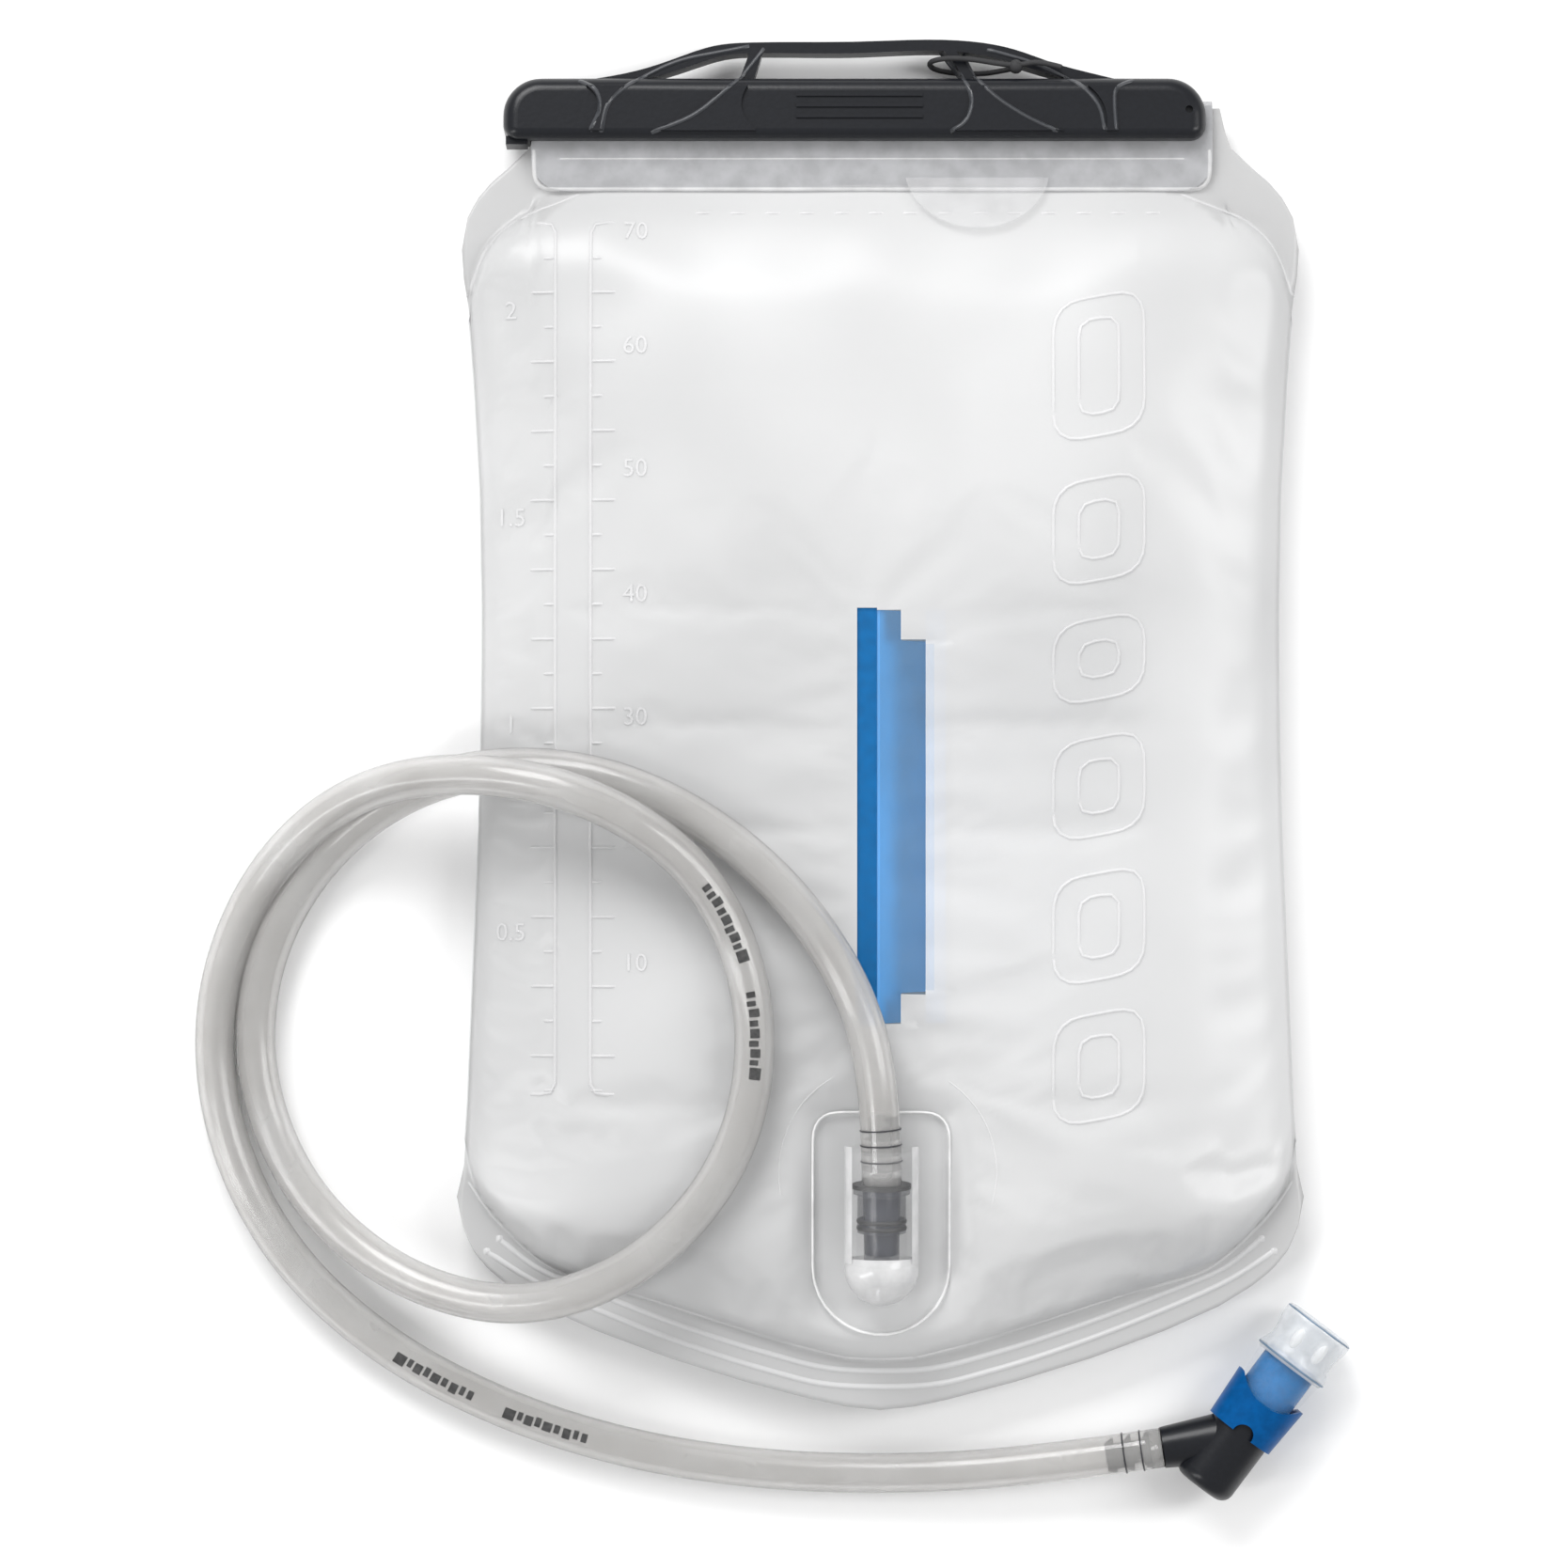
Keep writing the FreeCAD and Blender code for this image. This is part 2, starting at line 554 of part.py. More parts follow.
OUTLET_TIP = OUTLET.multVec(Vector(0, 0, size["rim_thickness"] / 2))
OUTLET_NEXT = OUTLET.multVec(Vector(0, 0, 25.0))
INLET_DIRECTION = Vector(0.9876, 0.1564, 0)
INLET_START = VALVE.multVec(Vector(0, 0, size["inlet_reach"])) - INLET_DIRECTION * 17.9

# The drink tube's route, chosen by hand: over the bag, one turn on the ground,
# back over the bag, across itself, a second wider turn and out to the bite valve.
APEX = size["apex_y"]
DRINK_TUBE_ROUTE = [
    tuple(OUTLET_TIP),
    tuple(OUTLET_NEXT),
    (-8.0, -58.0, 31.5),
    (-26.5, -33.5, 31.3),
    (-52.5, -15.8, 30.0),
    (-80.0, -9.0, 26.0),
    (-107.5, -12.5, 15.5),
    (-131.5, -28.0, 5.2),
    (-147.2, -53.0, 4.75),
    (-150.2, -82.9, 4.8),
    (-138.2, -112.5, 6.5),
    (-113.2, -132.6, 14.5),
    (-82.2, -138.6, 23.8),
    (-52.6, -125.5, 29.5),
    (-32.6, -99.8, 30.8),
    (-28.2, -67.5, 30.8),
    (-39.3, -36.8, 33.0),
    (-63.5, -18.0, 41.2),
    (-94.5, -10.4, 35.5),
    (-124.5, -14.8, 17.4),
    (-147.6, -34.5, 6.3),
    (-159.6, -64.6, 4.8),
    (-157.4, -97.0, 4.75),
    (-143.2, -126.0, 4.8),
    (-119.5, APEX + 14.7, 4.75),
    (-90.6, APEX - 0.5, 4.8),
    (-60.3, APEX - 10.1, 4.75),
    (-28.4, APEX - 15.0, 4.8),
    (3.7, APEX - 16.0, 5.0),
    (36.0, APEX - 13.9, 7.2),
    tuple(INLET_START),
]
tube_path = cord_path(DRINK_TUBE_ROUTE, "drink_tube")
drink_tube = along(tube_path, size["tube"]).cut(along(tube_path, size["bore"]))
check_length("drink_tube", drink_tube, tube_path, math.pi * (size["tube"] ** 2 - size["bore"] ** 2))
shaped("drink_tube", drink_tube)

# The slide seal's tether: a thin cord round the handle's right strut, ending
# in a knot beside the handle with its tail free.
TETHER_ROUTE = [
    (43.0, 155.9, 6.2), (38.0, 157.6, 5.8), (32.5, 156.4, 5.6), (27.5, 157.0, 5.6), (22.0, 158.0, 5.6),
    (15.5, 158.4, 5.4), (11.4, 158.0, 2.6), (12.6, 157.2, -1.8), (18.0, 156.4, -2.7), (23.5, 156.2, -2.2),
    (27.0, 155.9, 0.6), (31.2, 156.1, 3.6),
]
tether_path = cord_path([(x, mouth_y(y), z) for x, y, z in TETHER_ROUTE], "tether_cord")
tether = along(tether_path, size["tether"])
check_length("tether_cord", tether, tether_path, math.pi * size["tether"] ** 2)
shaped("tether_cord", tether, MOUTH)


def knot_at(point, radius):
    return Part.makeSphere(radius, Vector(point[0], mouth_y(point[1]), point[2]))


shaped("tether_knot", knot_at((32.2, 156.3, 5.2), size["knot"]).cut(tether), MOUTH)


# ------------------------------------------------------------- outlet port
def port_plate():
    """Flat patch welded to the front film: square shoulders and a round foot."""
    half = size["plate_half"]
    top = size["port_top_y"] - size["port_y"]
    low = top - size["plate_length"] + half
    corner = size["plate_corner"]
    bend = corner * (1 - math.sqrt(0.5))
    left_arc = Part.Arc(Vector(-half, top - corner, 0), Vector(-half + bend, top - bend, 0),
                        Vector(-half + corner, top, 0)).toShape()
    right_arc = Part.Arc(Vector(half, top - corner, 0), Vector(half - bend, top - bend, 0),
                         Vector(half - corner, top, 0)).toShape()
    foot_arc = Part.Arc(Vector(-half, low, 0), Vector(0, low - half, 0), Vector(half, low, 0)).toShape()
    sides = [
        Part.makeLine(Vector(-half, top - corner, 0), Vector(-half, low, 0)),
        Part.makeLine(Vector(half, top - corner, 0), Vector(half, low, 0)),
        Part.makeLine(Vector(-half + corner, top, 0), Vector(half - corner, top, 0)),
    ]
    return plan_face([left_arc, right_arc, foot_arc] + sides).extrude(Vector(0, 0, size["plate"]))


def port_housing():
    """Bullet-shaped socket on the plate, open at the top, with a valve seat inside."""
    outer = size["socket"] + size["socket_wall"]
    mouth_bore = size["rim"] + size["clearance"]
    axis = Vector(0, 0, 1)
    floor_z = size["housing_length"] - outer
    length = floor_z + size["hood"]
    body = Part.makeCylinder(outer, length, Vector(0, 0, -floor_z), axis)
    body = body.fuse(Part.makeSphere(outer, Vector(0, 0, -floor_z)))
    step = -size["rim_thickness"] / 2 - size["rim_flange"] - size["clearance"]
    body = body.cut(Part.makeCylinder(mouth_bore, size["hood"] - step + 1, Vector(0, 0, step), axis))
    body = body.cut(Part.makeCylinder(size["socket"], size["socket_depth"], Vector(0, 0, -size["socket_depth"]), axis))
    seat_low = -size["socket_depth"] - size["seat_wall"]
    body = body.cut(Part.makeCylinder(size["seat_hole"], size["seat_wall"] + 1, Vector(0, 0, seat_low - 0.5), axis))
    chamber = Part.makeCylinder(size["socket"], 2.4, Vector(0, 0, seat_low - 2.4), axis)
    dome = Part.makeSphere(outer - 1.4, Vector(0, 0, -floor_z))
    below_seat = Part.makeCylinder(outer, 40.0, Vector(0, 0, seat_low - 40.0), axis)
    return body.cut(chamber.fuse(dome.common(below_seat)))


plate_shape = port_plate()
housing = port_housing()
housing.Placement = ALONG_Y.multiply(housing.Placement)
under_plate = Part.makeBox(60, 100, 20, Vector(-30, -60, -20))
port_body = plate_shape.fuse(housing).cut(under_plate)
# Water passes up from the bag into the chamber behind the seat.
feed = Part.makeCylinder(size["feed"], PORT_AXIS_HEIGHT, Vector(0, -23.4, 0))
shaped("port_body", port_body.cut(feed).removeSplitter(), PORT)

# Poppet that shuts the port when the connector is pulled out.
stem = cylinder("poppet_stem", "Sizes.poppet_stem", "Sizes.seat_wall + Sizes.poppet_stroke + 0.5",
                "-Sizes.socket_depth - Sizes.seat_wall - Sizes.poppet_stroke - Sizes.clearance")
head = cylinder("poppet_head", "Sizes.poppet_head", "Sizes.poppet_disc",
                "-Sizes.socket_depth - Sizes.seat_wall - Sizes.poppet_stroke - Sizes.clearance - Sizes.poppet_disc")
node(fuse("poppet", stem, head), "port_poppet", OUTLET)

# Closing spring behind the poppet, drawn as the sleeve that its coils fill.
spring_top = "-Sizes.socket_depth - Sizes.seat_wall - Sizes.poppet_stroke" \
             " - Sizes.clearance - Sizes.poppet_disc"
spring_room = "(Sizes.housing_length - 1.9 - Sizes.socket_depth - Sizes.seat_wall" \
              " - Sizes.poppet_stroke - Sizes.clearance - Sizes.poppet_disc)"
coils = cylinder("spring_coils", "Sizes.spring_out", spring_room, spring_top + " - " + spring_room)
coil_hole = cylinder("spring_hole", "Sizes.spring_in", spring_room + " + 2", spring_top + " - 1 - " + spring_room)
node(cut("spring_sleeve", coils, coil_hole), "port_spring", OUTLET)

# ------------------------------------------------------------- connector
rim_low = "-Sizes.rim_thickness / 2"
tail = "Sizes.rim_thickness / 2"
connector_parts = [
    cylinder("connector_flange", "Sizes.rim - 0.2", "Sizes.rim_flange",
             "-Sizes.rim_thickness / 2 - Sizes.rim_flange"),
    cylinder("connector_neck", "Sizes.bore + Sizes.neck", "Sizes.rim_thickness", rim_low),
    cylinder("connector_barrel", "Sizes.socket - Sizes.clearance", "Sizes.barrel",
             "-Sizes.rim_thickness / 2 - Sizes.rim_flange - Sizes.barrel"),
    cylinder("connector_nose", "Sizes.nose", "Sizes.nose_length",
             "-Sizes.rim_thickness / 2 - Sizes.rim_flange - Sizes.barrel + 0.2 - Sizes.nose_length"),
    cylinder("connector_tail", "Sizes.bore - Sizes.barb_root", "Sizes.barb_length", tail),
]
for step in range(3):
    connector_parts.append(cone(
        "connector_barb_%d" % step, "Sizes.bore + Sizes.barb_bite", "Sizes.bore - Sizes.barb_root + 0.05",
        "Sizes.barb_rise", "Sizes.rim_thickness / 2 + Sizes.barb_first + Sizes.barb_pitch * %d" % step,
    ))
solid_connector = fuse("connector_solid", *connector_parts)
waterway = cylinder("connector_waterway", "Sizes.waterway", "Sizes.barb_length + 25", "-20")
RING_PLACE = "-Sizes.rim_thickness / 2 - Sizes.first_ring - Sizes.ring_pitch * %d"
ring_groove_radius = "Sizes.socket - Sizes.seal_gap - Sizes.seal_ring"
grooves = [ring("groove_%d" % n, ring_groove_radius, "Sizes.seal_ring", RING_PLACE % n)
           for n in range(2)]
cuts = fuse("connector_cuts", waterway, *grooves)
node(cut("connector_shape", solid_connector, cuts), "hose_connector", OUTLET)

rings = [ring("plug_ring_%d" % n, ring_groove_radius, "Sizes.seal_ring", RING_PLACE % n)
         for n in range(2)]
node(fuse("plug_rings", *rings), "connector_seal_rings", OUTLET)

washer = cylinder("rim_disc", "Sizes.rim", "Sizes.rim_thickness", rim_low)
washer_hole = cylinder("rim_hole", "Sizes.bore + Sizes.neck", "Sizes.rim_thickness + 2", "-Sizes.rim_thickness / 2 - 1")
node(cut("rim_washer", washer, washer_hole), "connector_rim_gasket", OUTLET)


# ------------------------------------------------------------- bite valve
def valve_elbow():
    """Moulded elbow: a round body with a slanting inlet and a barb for the tube."""
    body = Part.makeCylinder(size["elbow"], size["elbow_length"])
    foot = [e for e in body.Edges if abs(e.CenterOfMass.z) < 0.01 and e.Closed]
    body = body.makeFillet(size["elbow_foot"], foot[:1])
    to_valve = VALVE.inverse()
    start = to_valve.multVec(INLET_START)
    direction = (Vector(0, 0, size["inlet_reach"]) - start).normalize()
    inlet = Part.makeCone(size["inlet"], size["inlet_wide"], size["inlet_length"], start, direction)
    root = size["bore"] - size["barb_root"]
    reach = size["inlet_barb"]
    ridge = size["inlet_ridge"]
    barb = Part.makeCylinder(root, reach, start - direction * reach, direction)
    for step in (3.0, 7.2, 11.4):
        ridge_base = start - direction * (step + ridge)
        barb = barb.fuse(Part.makeCone(root + 0.05, size["bore"] + size["barb_bite"], ridge, ridge_base, direction))
    channel = Part.makeCylinder(size["waterway"], 31.0, start - direction * 14.0, direction)
    chamber = Part.makeCylinder(size["elbow_bore"], 20.0, Vector(0, 0, size["elbow_length"] - 8.5))
    return body.fuse(inlet).fuse(barb).cut(channel).cut(chamber).removeSplitter()


shaped("valve_elbow", valve_elbow(), VALVE)


def shutoff_collar():
    """Blue twist collar: flared, scalloped at the top, notched at the bottom."""
    low = size["collar_bottom"]
    tall = size["collar_top"] - low
    inner = size["elbow"] + size["clearance"]
    base = inner + size["collar_wall"]
    flared = base + size["collar_flare"]
    body = Part.makeCone(base, flared, tall, Vector(0, 0, low))
    body = body.cut(Part.makeCylinder(inner, size["elbow_length"] - low + size["clearance"], Vector(0, 0, low)))
    body = body.cut(Part.makeCylinder(size["core"], tall + 1, Vector(0, 0, low + 1)))
    body = body.cut(Part.makeCylinder(size["core"] + size["sheath"] + 0.1, tall,
                                      Vector(0, 0, size["sleeve_bottom"] - 0.2)))
    scoop = Part.makeCylinder(size["scoop"], 40.0, Vector(0, -20.0, size["collar_top"] + 7.2), Vector(0, 1, 0))
    notch = Part.makeCylinder(size["notch"], 20.0, Vector(0, 0, low + 0.2), Vector(0, 1, 0))
    return body.cut(scoop).cut(notch).removeSplitter()


shaped("shutoff_collar", shutoff_collar(), VALVE)

core_low = "Sizes.elbow_length + Sizes.clearance"
core_barrel = cylinder("core_barrel", "Sizes.core", "Sizes.core_top - Sizes.elbow_length - Sizes.clearance", core_low)
core_spigot = cylinder("core_spigot", "Sizes.elbow_bore - Sizes.clearance", "6.5", "Sizes.elbow_length - 6.0")
core_hole = cylinder("core_hole", "Sizes.core_bore", "40", "Sizes.elbow_length - 10")
core_groove = ring("core_groove", "Sizes.elbow_bore - Sizes.seal_gap - Sizes.core_ring", "Sizes.core_ring", "Sizes.elbow_length - 3")
core_cuts = fuse("core_cuts", core_hole, core_groove)
node(cut("core_shape", fuse("core_solid", core_barrel, core_spigot), core_cuts), "valve_core", VALVE)
core_ring = ring("core_ring", "Sizes.elbow_bore - Sizes.seal_gap - Sizes.core_ring", "Sizes.core_ring", "Sizes.elbow_length - 3")
node(group("core_ring_piece", core_ring), "core_seal_ring", VALVE)


def mouthpiece():
    """Silicone sheath over the core with a flared, slit tip."""
    bottom = size["sleeve_bottom"]
    ring_z = size["core_top"] - 0.6
    tip = size["mouth_length"]
    wall = size["sheath"]
    core = size["core"]
    outline = [
        (core, bottom), (core + wall * 0.6, bottom), (core + wall + 0.5, ring_z - 2.4),
        (size["mouth_ring"], ring_z), (size["mouth_ring"] - 0.5, ring_z + 1.0),
        (size["mouth_waist"], ring_z + 3.4), (size["mouth_waist"] + 0.1, ring_z + 5.2),
        (size["mouth_tip"], tip - 2.4), (size["mouth_tip"] - 0.2, tip - 0.6), (size["mouth_tip"] - 1.0, tip),
        (0, tip), (0, tip - 1.6), (core - 0.6, tip - 1.6), (core - 0.9, ring_z + 3.0), (core, size["core_top"]),
    ]
    profile = polygon_face([(r, 0, z) for r, z in outline])
    body = profile.revolve(Vector(0, 0, 0), Vector(0, 0, 1), 360)
    slit = Part.makeBox(9.0, 0.5, 4.0, Vector(-4.5, -0.25, tip - 3.0))
    return body.cut(slit)


shaped("mouthpiece", mouthpiece(), VALVE)

# ------------------------------------------------------------- baffle
# Two tracks welded inside the panels and a slanting web that holds them together.
TRACK_LENGTH = "Sizes.track_top_y - Sizes.track_bottom_y"
FRONT_TRACK_TOP = "Sizes.seam_height + Sizes.rise - Sizes.film - 0.25"
front_track = box("front_track_box", "Sizes.track_width", TRACK_LENGTH, "Sizes.track_depth",
                  "-1 - Sizes.track_width", "Sizes.track_bottom_y", FRONT_TRACK_TOP + " - Sizes.track_depth")
node(front_track, "baffle_front_track")
back_track = box("back_track_box", "Sizes.track_width", TRACK_LENGTH, "Sizes.track_depth",
                 "Sizes.web_reach - 3", "Sizes.track_bottom_y", "Sizes.film")
node(back_track, "baffle_back_track")


def baffle_web():
    """Thin slanting sheet between the tracks, with a narrow tab at each end."""
    top_z = size["seam_height"] + size["rise"] - FILM - 0.25 - 0.6
    low_z = FILM + size["track_depth"]
    left = -1.0
    right = size["web_reach"] - 3.0
    low_y = size["track_bottom_y"] + 7.5
    high_y = size["track_top_y"] - 7.5
    web = size["web"]
    middle_x = (left + right) / 2
    middle_z = (top_z + low_z) / 2
    full = polygon_face([(left, low_y, top_z), (right, low_y, low_z), (right, low_y, low_z + web * 2),
                         (left + web, low_y, top_z)])
    sheet_shape = full.extrude(Vector(0, high_y - low_y, 0))
    tab_low = size["track_bottom_y"] + 0.5
    upper = polygon_face([(left, tab_low, top_z), (middle_x, tab_low, middle_z),
                          (middle_x, tab_low, middle_z + web * 1.5), (left + web, tab_low, top_z)])
    tabs = upper.extrude(Vector(0, size["track_top_y"] - 0.5 - tab_low, 0))
    return sheet_shape.fuse(tabs).removeSplitter()


shaped("baffle_web", baffle_web())

# ------------------------------------------------------------- checks, export
doc.recompute()
for thing in doc.Objects:
    if "Invalid" in thing.State or "Error" in thing.State:
        raise RuntimeError("%s failed: %s" % (thing.Label, thing.State))
for thing in NODES:
    if thing.Shape.isNull() or not thing.Shape.isValid():
        raise RuntimeError("%s has no valid shape" % thing.Label)
    print("%-24s solids %d volume %9.1f" % (thing.Label, len(thing.Shape.Solids), thing.Shape.Volume))

os.makedirs("parts", exist_ok=True)
for thing in NODES:
    thing.Shape.exportStep("parts/%s.step" % thing.Label)
print("%d nodes" % len(NODES))
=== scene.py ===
import math

import bmesh
import bpy
from mathutils import Matrix, Vector
from mathutils.bvhtree import BVHTree


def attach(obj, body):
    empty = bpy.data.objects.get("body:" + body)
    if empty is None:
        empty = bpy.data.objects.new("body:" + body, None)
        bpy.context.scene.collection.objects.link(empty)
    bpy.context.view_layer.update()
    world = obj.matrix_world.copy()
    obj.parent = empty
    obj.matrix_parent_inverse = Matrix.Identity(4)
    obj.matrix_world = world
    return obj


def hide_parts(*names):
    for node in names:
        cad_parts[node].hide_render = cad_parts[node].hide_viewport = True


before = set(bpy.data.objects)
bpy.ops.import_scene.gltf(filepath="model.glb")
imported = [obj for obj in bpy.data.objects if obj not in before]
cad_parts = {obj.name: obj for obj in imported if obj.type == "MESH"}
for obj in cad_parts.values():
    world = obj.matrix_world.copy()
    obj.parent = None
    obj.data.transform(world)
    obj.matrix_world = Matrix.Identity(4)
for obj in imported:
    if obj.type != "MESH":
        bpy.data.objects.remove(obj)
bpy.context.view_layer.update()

# ---------------------------------------------------------------- camera
# The reservoir lies on its back and is looked at from straight above, from
# far enough away that nothing leans.
MM = 0.001
VIEW_WIDTH = 372.3 * MM
VIEW_CENTRE = Vector((-22.9, -14.0, 12.0)) * MM
VIEW_DISTANCE = 1.5

camera_data = bpy.data.cameras.new("camera")
camera_data.sensor_width = 36.0
camera_data.lens = 36.0 * VIEW_DISTANCE / VIEW_WIDTH
camera = bpy.data.objects.new("camera", camera_data)
camera.location = VIEW_CENTRE + Vector((0, 0, VIEW_DISTANCE))
bpy.context.scene.collection.objects.link(camera)
bpy.context.scene.camera = camera


# ---------------------------------------------------------------- drink tube
# A clear 9.5 mm hose with a 6.4 mm bore, cut to about 0.93 m. It is pushed over
# the connector's barbs at one end and the bite valve's at the other, and its
# own springiness lays it in two loose turns.
TUBE_RADIUS = 4.75 * MM
TUBE_WALL = 1.55 * MM
TUBE_ROUTE = [
    (0.0, -107.730, 31.438), (0.0, -83.323, 33.573), (-8.0, -58.0, 31.5), (-26.5, -33.5, 31.3),
    (-52.5, -15.8, 30.0), (-80.0, -9.0, 26.0), (-107.5, -12.5, 15.5), (-131.5, -28.0, 5.2),
    (-147.2, -53.0, 4.75), (-150.2, -82.9, 4.8), (-138.2, -112.5, 6.5), (-113.2, -132.6, 14.5),
    (-82.2, -138.6, 23.8), (-52.6, -125.5, 29.5), (-32.6, -99.8, 30.8), (-28.2, -67.5, 30.8),
    (-39.3, -36.8, 33.0), (-63.5, -18.0, 41.2), (-94.5, -10.4, 35.5), (-124.5, -14.8, 17.4),
    (-147.6, -34.5, 6.3), (-159.6, -64.6, 4.8), (-157.4, -97.0, 4.75), (-143.2, -126.0, 4.8),
    (-119.5, -148.0, 4.75), (-90.6, -163.2, 4.8), (-60.3, -172.8, 4.75), (-28.4, -177.7, 4.8),
    (3.7, -178.7, 5.0), (36.0, -176.6, 7.2), (67.122, -171.8, 9.5),
]


def principled(name):
    """A new material and its main shader."""
    material = bpy.data.materials.new(name)
    material.use_nodes = True
    return material, material.node_tree.nodes["Principled BSDF"]


def add_node(material, kind, **settings):
    """A node of a material, with its settings and its input values."""
    new = material.node_tree.nodes.new(kind)
    for key, value in settings.items():
        if key in new.inputs:
            new.inputs[key].default_value = value
        else:
            setattr(new, key, value)
    return new


def join(material, output, target):
    """Links an output to an input."""
    material.node_tree.links.new(output, target)


def object_noise(material, scale, detail=3.0, roughness=0.5):
    """Noise that sits still on the piece."""
    place = add_node(material, "ShaderNodeTexCoord")
    noise = add_node(material, "ShaderNodeTexNoise", Scale=scale, Detail=detail, Roughness=roughness)
    join(material, place.outputs["Object"], noise.inputs["Vector"])
    return noise


def bumpy(material, shader, height, strength, distance):
    """Bump from a height output."""
    bump = add_node(material, "ShaderNodeBump", Strength=strength, Distance=distance)
    join(material, height, bump.inputs["Height"])
    join(material, bump.outputs["Normal"], shader.inputs["Normal"])
    return bump


def ramp(material, factor, stops):
    """Colour ramp between (place, colour) stops."""
    node = add_node(material, "ShaderNodeValToRGB")
    elements = node.color_ramp.elements
    while len(elements) < len(stops):
        elements.new(0.5)
    for element, (place, colour) in zip(elements, stops):
        element.position = place
        element.color = (*colour, 1.0)
    join(material, factor, node.inputs["Fac"])
    return node


tube_material, tube_shader = principled("hose_polyurethane")
tube_shader.inputs["Roughness"].default_value = 0.16
tube_shader.inputs["IOR"].default_value = 1.42
tube_shader.inputs["Transmission Weight"].default_value = 0.72
# The bore is full of barb at both ends, so the wall there is seen clear.
tube_place = add_node(tube_material, "ShaderNodeTexCoord")
clear_ends = []
for end in ((0.0, -0.0990, 0.0315), (0.0600, -0.1730, 0.0093)):
    away = add_node(tube_material, "ShaderNodeVectorMath", operation="DISTANCE")
    away.inputs[1].default_value = end
    join(tube_material, tube_place.outputs["Object"], away.inputs[0])
    near = add_node(tube_material, "ShaderNodeMapRange")
    near.inputs["From Min"].default_value = 0.008
    near.inputs["From Max"].default_value = 0.013
    join(tube_material, away.outputs["Value"], near.inputs["Value"])
    clear_ends.append(near)
frosting = add_node(tube_material, "ShaderNodeMath", operation="MULTIPLY")
join(tube_material, clear_ends[0].outputs["Result"], frosting.inputs[0])
join(tube_material, clear_ends[1].outputs["Result"], frosting.inputs[1])
rough = add_node(tube_material, "ShaderNodeMapRange")
rough.inputs["To Min"].default_value = 0.02
rough.inputs["To Max"].default_value = 0.18
join(tube_material, frosting.outputs["Value"], rough.inputs["Value"])
join(tube_material, rough.outputs["Result"], tube_shader.inputs["Roughness"])
tube_cloud = object_noise(tube_material, 60.0)
MILKY = [(0.3, (0.75, 0.74, 0.725)), (0.7, (0.82, 0.815, 0.805))]
tube_tint = ramp(tube_material, tube_cloud.outputs["Fac"], MILKY)
join(tube_material, tube_tint.outputs["Color"], tube_shader.inputs["Base Color"])
bumpy(tube_material, tube_shader, tube_cloud.outputs["Fac"], 0.05, 0.0005)

tube_curve = bpy.data.curves.new("drink_tube", "CURVE")
tube_curve.dimensions = "3D"
tube_curve.twist_mode = "Z_UP"
spline = tube_curve.splines.new("NURBS")
spline.points.add(len(TUBE_ROUTE) - 1)
for point, place in zip(spline.points, TUBE_ROUTE):
    point.co = (*(Vector(place) * MM), 1.0)
spline.order_u = 3
spline.use_endpoint_u = True
spline.resolution_u = 14
tube_curve.bevel_depth = TUBE_RADIUS
tube_curve.bevel_resolution = 7
tube_curve.materials.append(tube_material)
tube = bpy.data.objects.new("hose_drink_tube", tube_curve)
bpy.context.scene.collection.objects.link(tube)
wall = tube.modifiers.new("wall", "SOLIDIFY")
wall.thickness = TUBE_WALL
wall.offset = -1.0
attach(tube, "hose")
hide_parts("drink_tube")
tuple(Vector(TUBE_ROUTE[0]) * MM)


# The maker's lot marks are printed along the hose as groups of short dark dashes.
def new_piece(name, mesh_builder, material, body, slot, *nodes):
    """Turns a bmesh in millimetres into a finished piece that rides on a body."""
    mesh = bpy.data.meshes.new(name)
    bmesh.ops.recalc_face_normals(mesh_builder, faces=mesh_builder.faces)
    bmesh.ops.scale(mesh_builder, vec=(MM, MM, MM), verts=mesh_builder.verts)
    mesh_builder.to_mesh(mesh)
    mesh_builder.free()
    for finish in material if isinstance(material, (list, tuple)) else [material]:
        mesh.materials.append(finish)
    for polygon in mesh.polygons:
        polygon.use_smooth = True
    piece = bpy.data.objects.new(name, mesh)
    bpy.context.scene.collection.objects.link(piece)
    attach(piece, body)
    if nodes:
        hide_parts(*nodes)
    return piece


def spline_points(curve):
    """The points of a curve's centre line, in millimetres."""
    centre = curve.copy()
    centre.bevel_depth = 0.0
    holder = bpy.data.objects.new("centre_line", centre)
    mesh = bpy.data.meshes.new_from_object(holder)
    points = [v.co / MM for v in mesh.vertices]
    bpy.data.meshes.remove(mesh)
    bpy.data.objects.remove(holder)
    bpy.data.curves.remove(centre)
    return points


def walk(points, distance):
    """Place and direction at a distance along a list of points."""
    for a, b in zip(points, points[1:]):
        step = (b - a).length
        if distance <= step and step > 0:
            return a.lerp(b, distance / step), (b - a).normalized()
        distance -= step
    return points[-1], (points[-1] - points[-2]).normalized()


def path_length(points):
    """Length of a line through points."""
    return sum((b - a).length for a, b in zip(points, points[1:]))


tube_line = spline_points(tube_curve)
print_ink, ink_shader = principled("printed_ink")
ink_shader.inputs["Roughness"].default_value = 0.5
ink_noise = object_noise(print_ink, 900.0)
ink_tint = ramp(print_ink, ink_noise.outputs["Fac"], [(0.3, (0.02, 0.02, 0.02)), (0.7, (0.06, 0.06, 0.06))])
join(print_ink, ink_tint.outputs["Color"], ink_shader.inputs["Base Color"])
MARK_STARTS = [434.0, 462.0, 742.0, 771.0]
MARK_DASHES = [
    (0.0, 2.8, 0.6), (3.4, 1.2, 0.0), (5.2, 2.0, 0.3), (7.8, 1.4, -0.2), (9.8, 2.2, 0.2), (12.6, 1.4, 0.0),
    (14.8, 1.9, 0.4), (17.4, 1.2, -0.1), (19.4, 1.4, 0.1),
]
